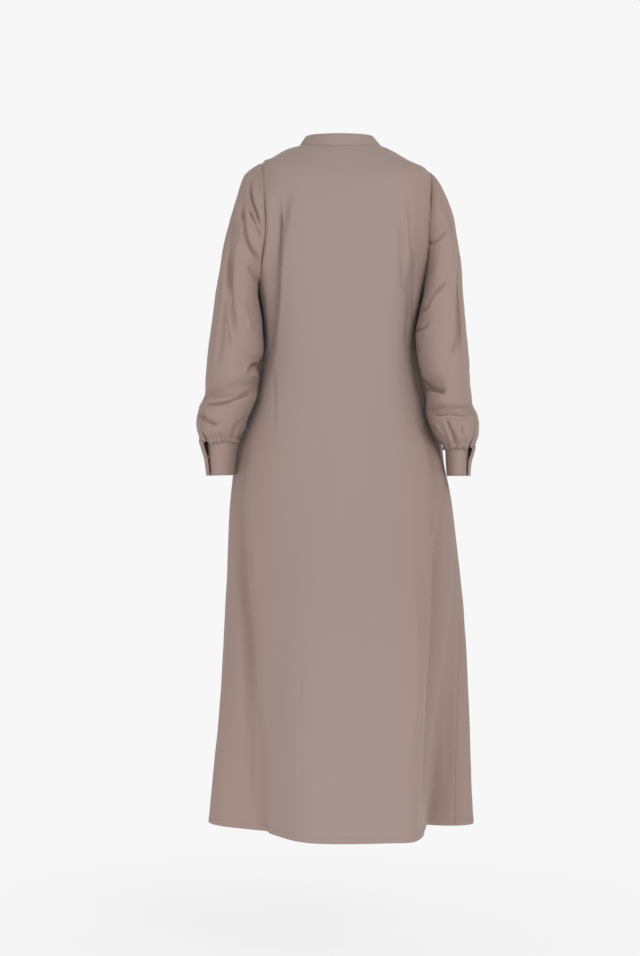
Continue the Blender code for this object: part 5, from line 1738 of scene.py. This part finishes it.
class ABAYA_OT_set_studio(bpy.types.Operator):
    """Sets up the pale floor, the soft lights and the camera"""

    bl_idname = "abaya.set_studio"
    bl_label = "Set up the studio"

    def execute(self, context):
        studio = context.scene.abaya_studio
        world = bpy.data.worlds.new("studio")
        world.use_nodes = True
        back = world.node_tree.nodes["Background"]
        back.inputs["Color"].default_value = (studio.pale, studio.pale, studio.pale, 1)
        ambient = world.node_tree.nodes.new("ShaderNodeBackground")
        ambient.inputs["Color"].default_value = (1.0, 1.0, 1.0, 1)
        ambient.inputs["Strength"].default_value = studio.ambient
        seen = world.node_tree.nodes.new("ShaderNodeLightPath")
        mix = world.node_tree.nodes.new("ShaderNodeMixShader")
        links = world.node_tree.links
        links.new(seen.outputs["Is Camera Ray"], mix.inputs[0])
        links.new(ambient.outputs[0], mix.inputs[1])
        links.new(back.outputs[0], mix.inputs[2])
        links.new(mix.outputs[0], world.node_tree.nodes["World Output"].inputs["Surface"])
        context.scene.world = world
        context.scene.view_settings.view_transform = "Standard"
        self.floor(context, studio)
        for name, (size, place) in LIGHTS.items():
            self.light(name, getattr(studio, f"{name}_power"), size, place)
        camera = bpy.data.objects.new("camera", bpy.data.cameras.new("camera"))
        context.scene.collection.objects.link(camera)
        camera.data.lens = studio.lens
        camera.data.sensor_width = SENSOR_WIDTH
        camera.location = CAMERA_PLACE
        camera.rotation_euler = (math.radians(90), 0.0, math.radians(180))
        context.scene.camera = camera
        return {"FINISHED"}

    def floor(self, context, studio):
        """A round floor that shows a soft shadow and fades into the backdrop."""
        bpy.ops.object.select_all(action="DESELECT")
        bpy.ops.mesh.primitive_circle_add(vertices=96, radius=FLOOR_RADIUS, fill_type="NGON")
        floor = context.active_object
        floor.name = "studio_floor"
        floor.data.transform(Matrix.Translation((0, 0, studio.floor_height)))
        matte = {"Roughness": 0.9, "Specular IOR Level": 0.1, "Metallic": 0.0}
        recipe = Recipe("studio_floor", {**matte, "Base Color": (0.90, 0.90, 0.90, 1)})
        far = recipe.ramp(recipe.distance(1, 1, 0), 0.3, 1.3)
        pale = (studio.pale, studio.pale, studio.pale, 1)
        plain = recipe.add("ShaderNodeEmission", {}, {"Color": pale, "Strength": 1.0})
        mix = recipe.add("ShaderNodeMixShader", {}, {0: far * 0.18 + 0.82})
        links, output = recipe.tree.links, recipe.tree.nodes["Material Output"]
        links.new(recipe.shader.outputs[0], mix.inputs[1])
        links.new(plain.outputs[0], mix.inputs[2])
        links.new(mix.outputs[0], output.inputs["Surface"])
        floor.data.materials.append(recipe.material)

    def light(self, name, power, size, place):
        lamp = bpy.data.lights.new(name, "AREA")
        lamp.energy, lamp.size = power, size
        light = bpy.data.objects.new(name, lamp)
        bpy.context.scene.collection.objects.link(light)
        light.location = place
        way = Vector(LIT_PLACE) - Vector(place)
        light.rotation_euler = way.to_track_quat("-Z", "Y").to_euler()


class ABAYA_PT_sewing(bpy.types.Panel):
    """Lists the garment's settings and what can be sewn"""

    bl_idname = "ABAYA_PT_sewing"
    bl_label = "Abaya"
    bl_space_type = "VIEW_3D"
    bl_region_type = "UI"
    bl_category = "Abaya"

    def draw(self, context):
        for name in SETTINGS:
            settings = getattr(context.scene, name)
            box = self.layout.box()
            for setting in settings.bl_rna.properties:
                if setting.identifier not in ("rna_type", "name"):
                    box.prop(settings, setting.identifier)
        for operator in OPERATORS:
            self.layout.operator(operator.bl_idname)


SETTINGS = {
    "abaya_cloth": ClothSettings,
    "abaya_stitches": StitchSettings,
    "abaya_buttons": ButtonSettings,
    "abaya_studio": StudioSettings,
}
OPERATORS = (
    ABAYA_OT_sew_back,
    ABAYA_OT_sew_fronts,
    ABAYA_OT_sew_placket,
    ABAYA_OT_sew_collar,
    ABAYA_OT_sew_sleeves,
    ABAYA_OT_sew_cuffs,
    ABAYA_OT_sew_buttons,
    ABAYA_OT_set_studio,
)
CLASSES = (*SETTINGS.values(), *OPERATORS, ABAYA_PT_sewing)


def register():
    for cls in CLASSES:
        bpy.utils.register_class(cls)
    for name, settings in SETTINGS.items():
        setattr(bpy.types.Scene, name, PointerProperty(type=settings))


def unregister():
    for name in SETTINGS:
        delattr(bpy.types.Scene, name)
    for cls in reversed(CLASSES):
        bpy.utils.unregister_class(cls)


def main():
    register()
    bpy.ops.abaya.sew_back()
    bpy.ops.abaya.sew_fronts()
    bpy.ops.abaya.sew_placket()
    bpy.ops.abaya.sew_collar()
    bpy.ops.abaya.sew_sleeves()
    bpy.ops.abaya.sew_cuffs()
    bpy.ops.abaya.sew_buttons()
    bpy.ops.abaya.set_studio()


if __name__ == "__main__":
    main()
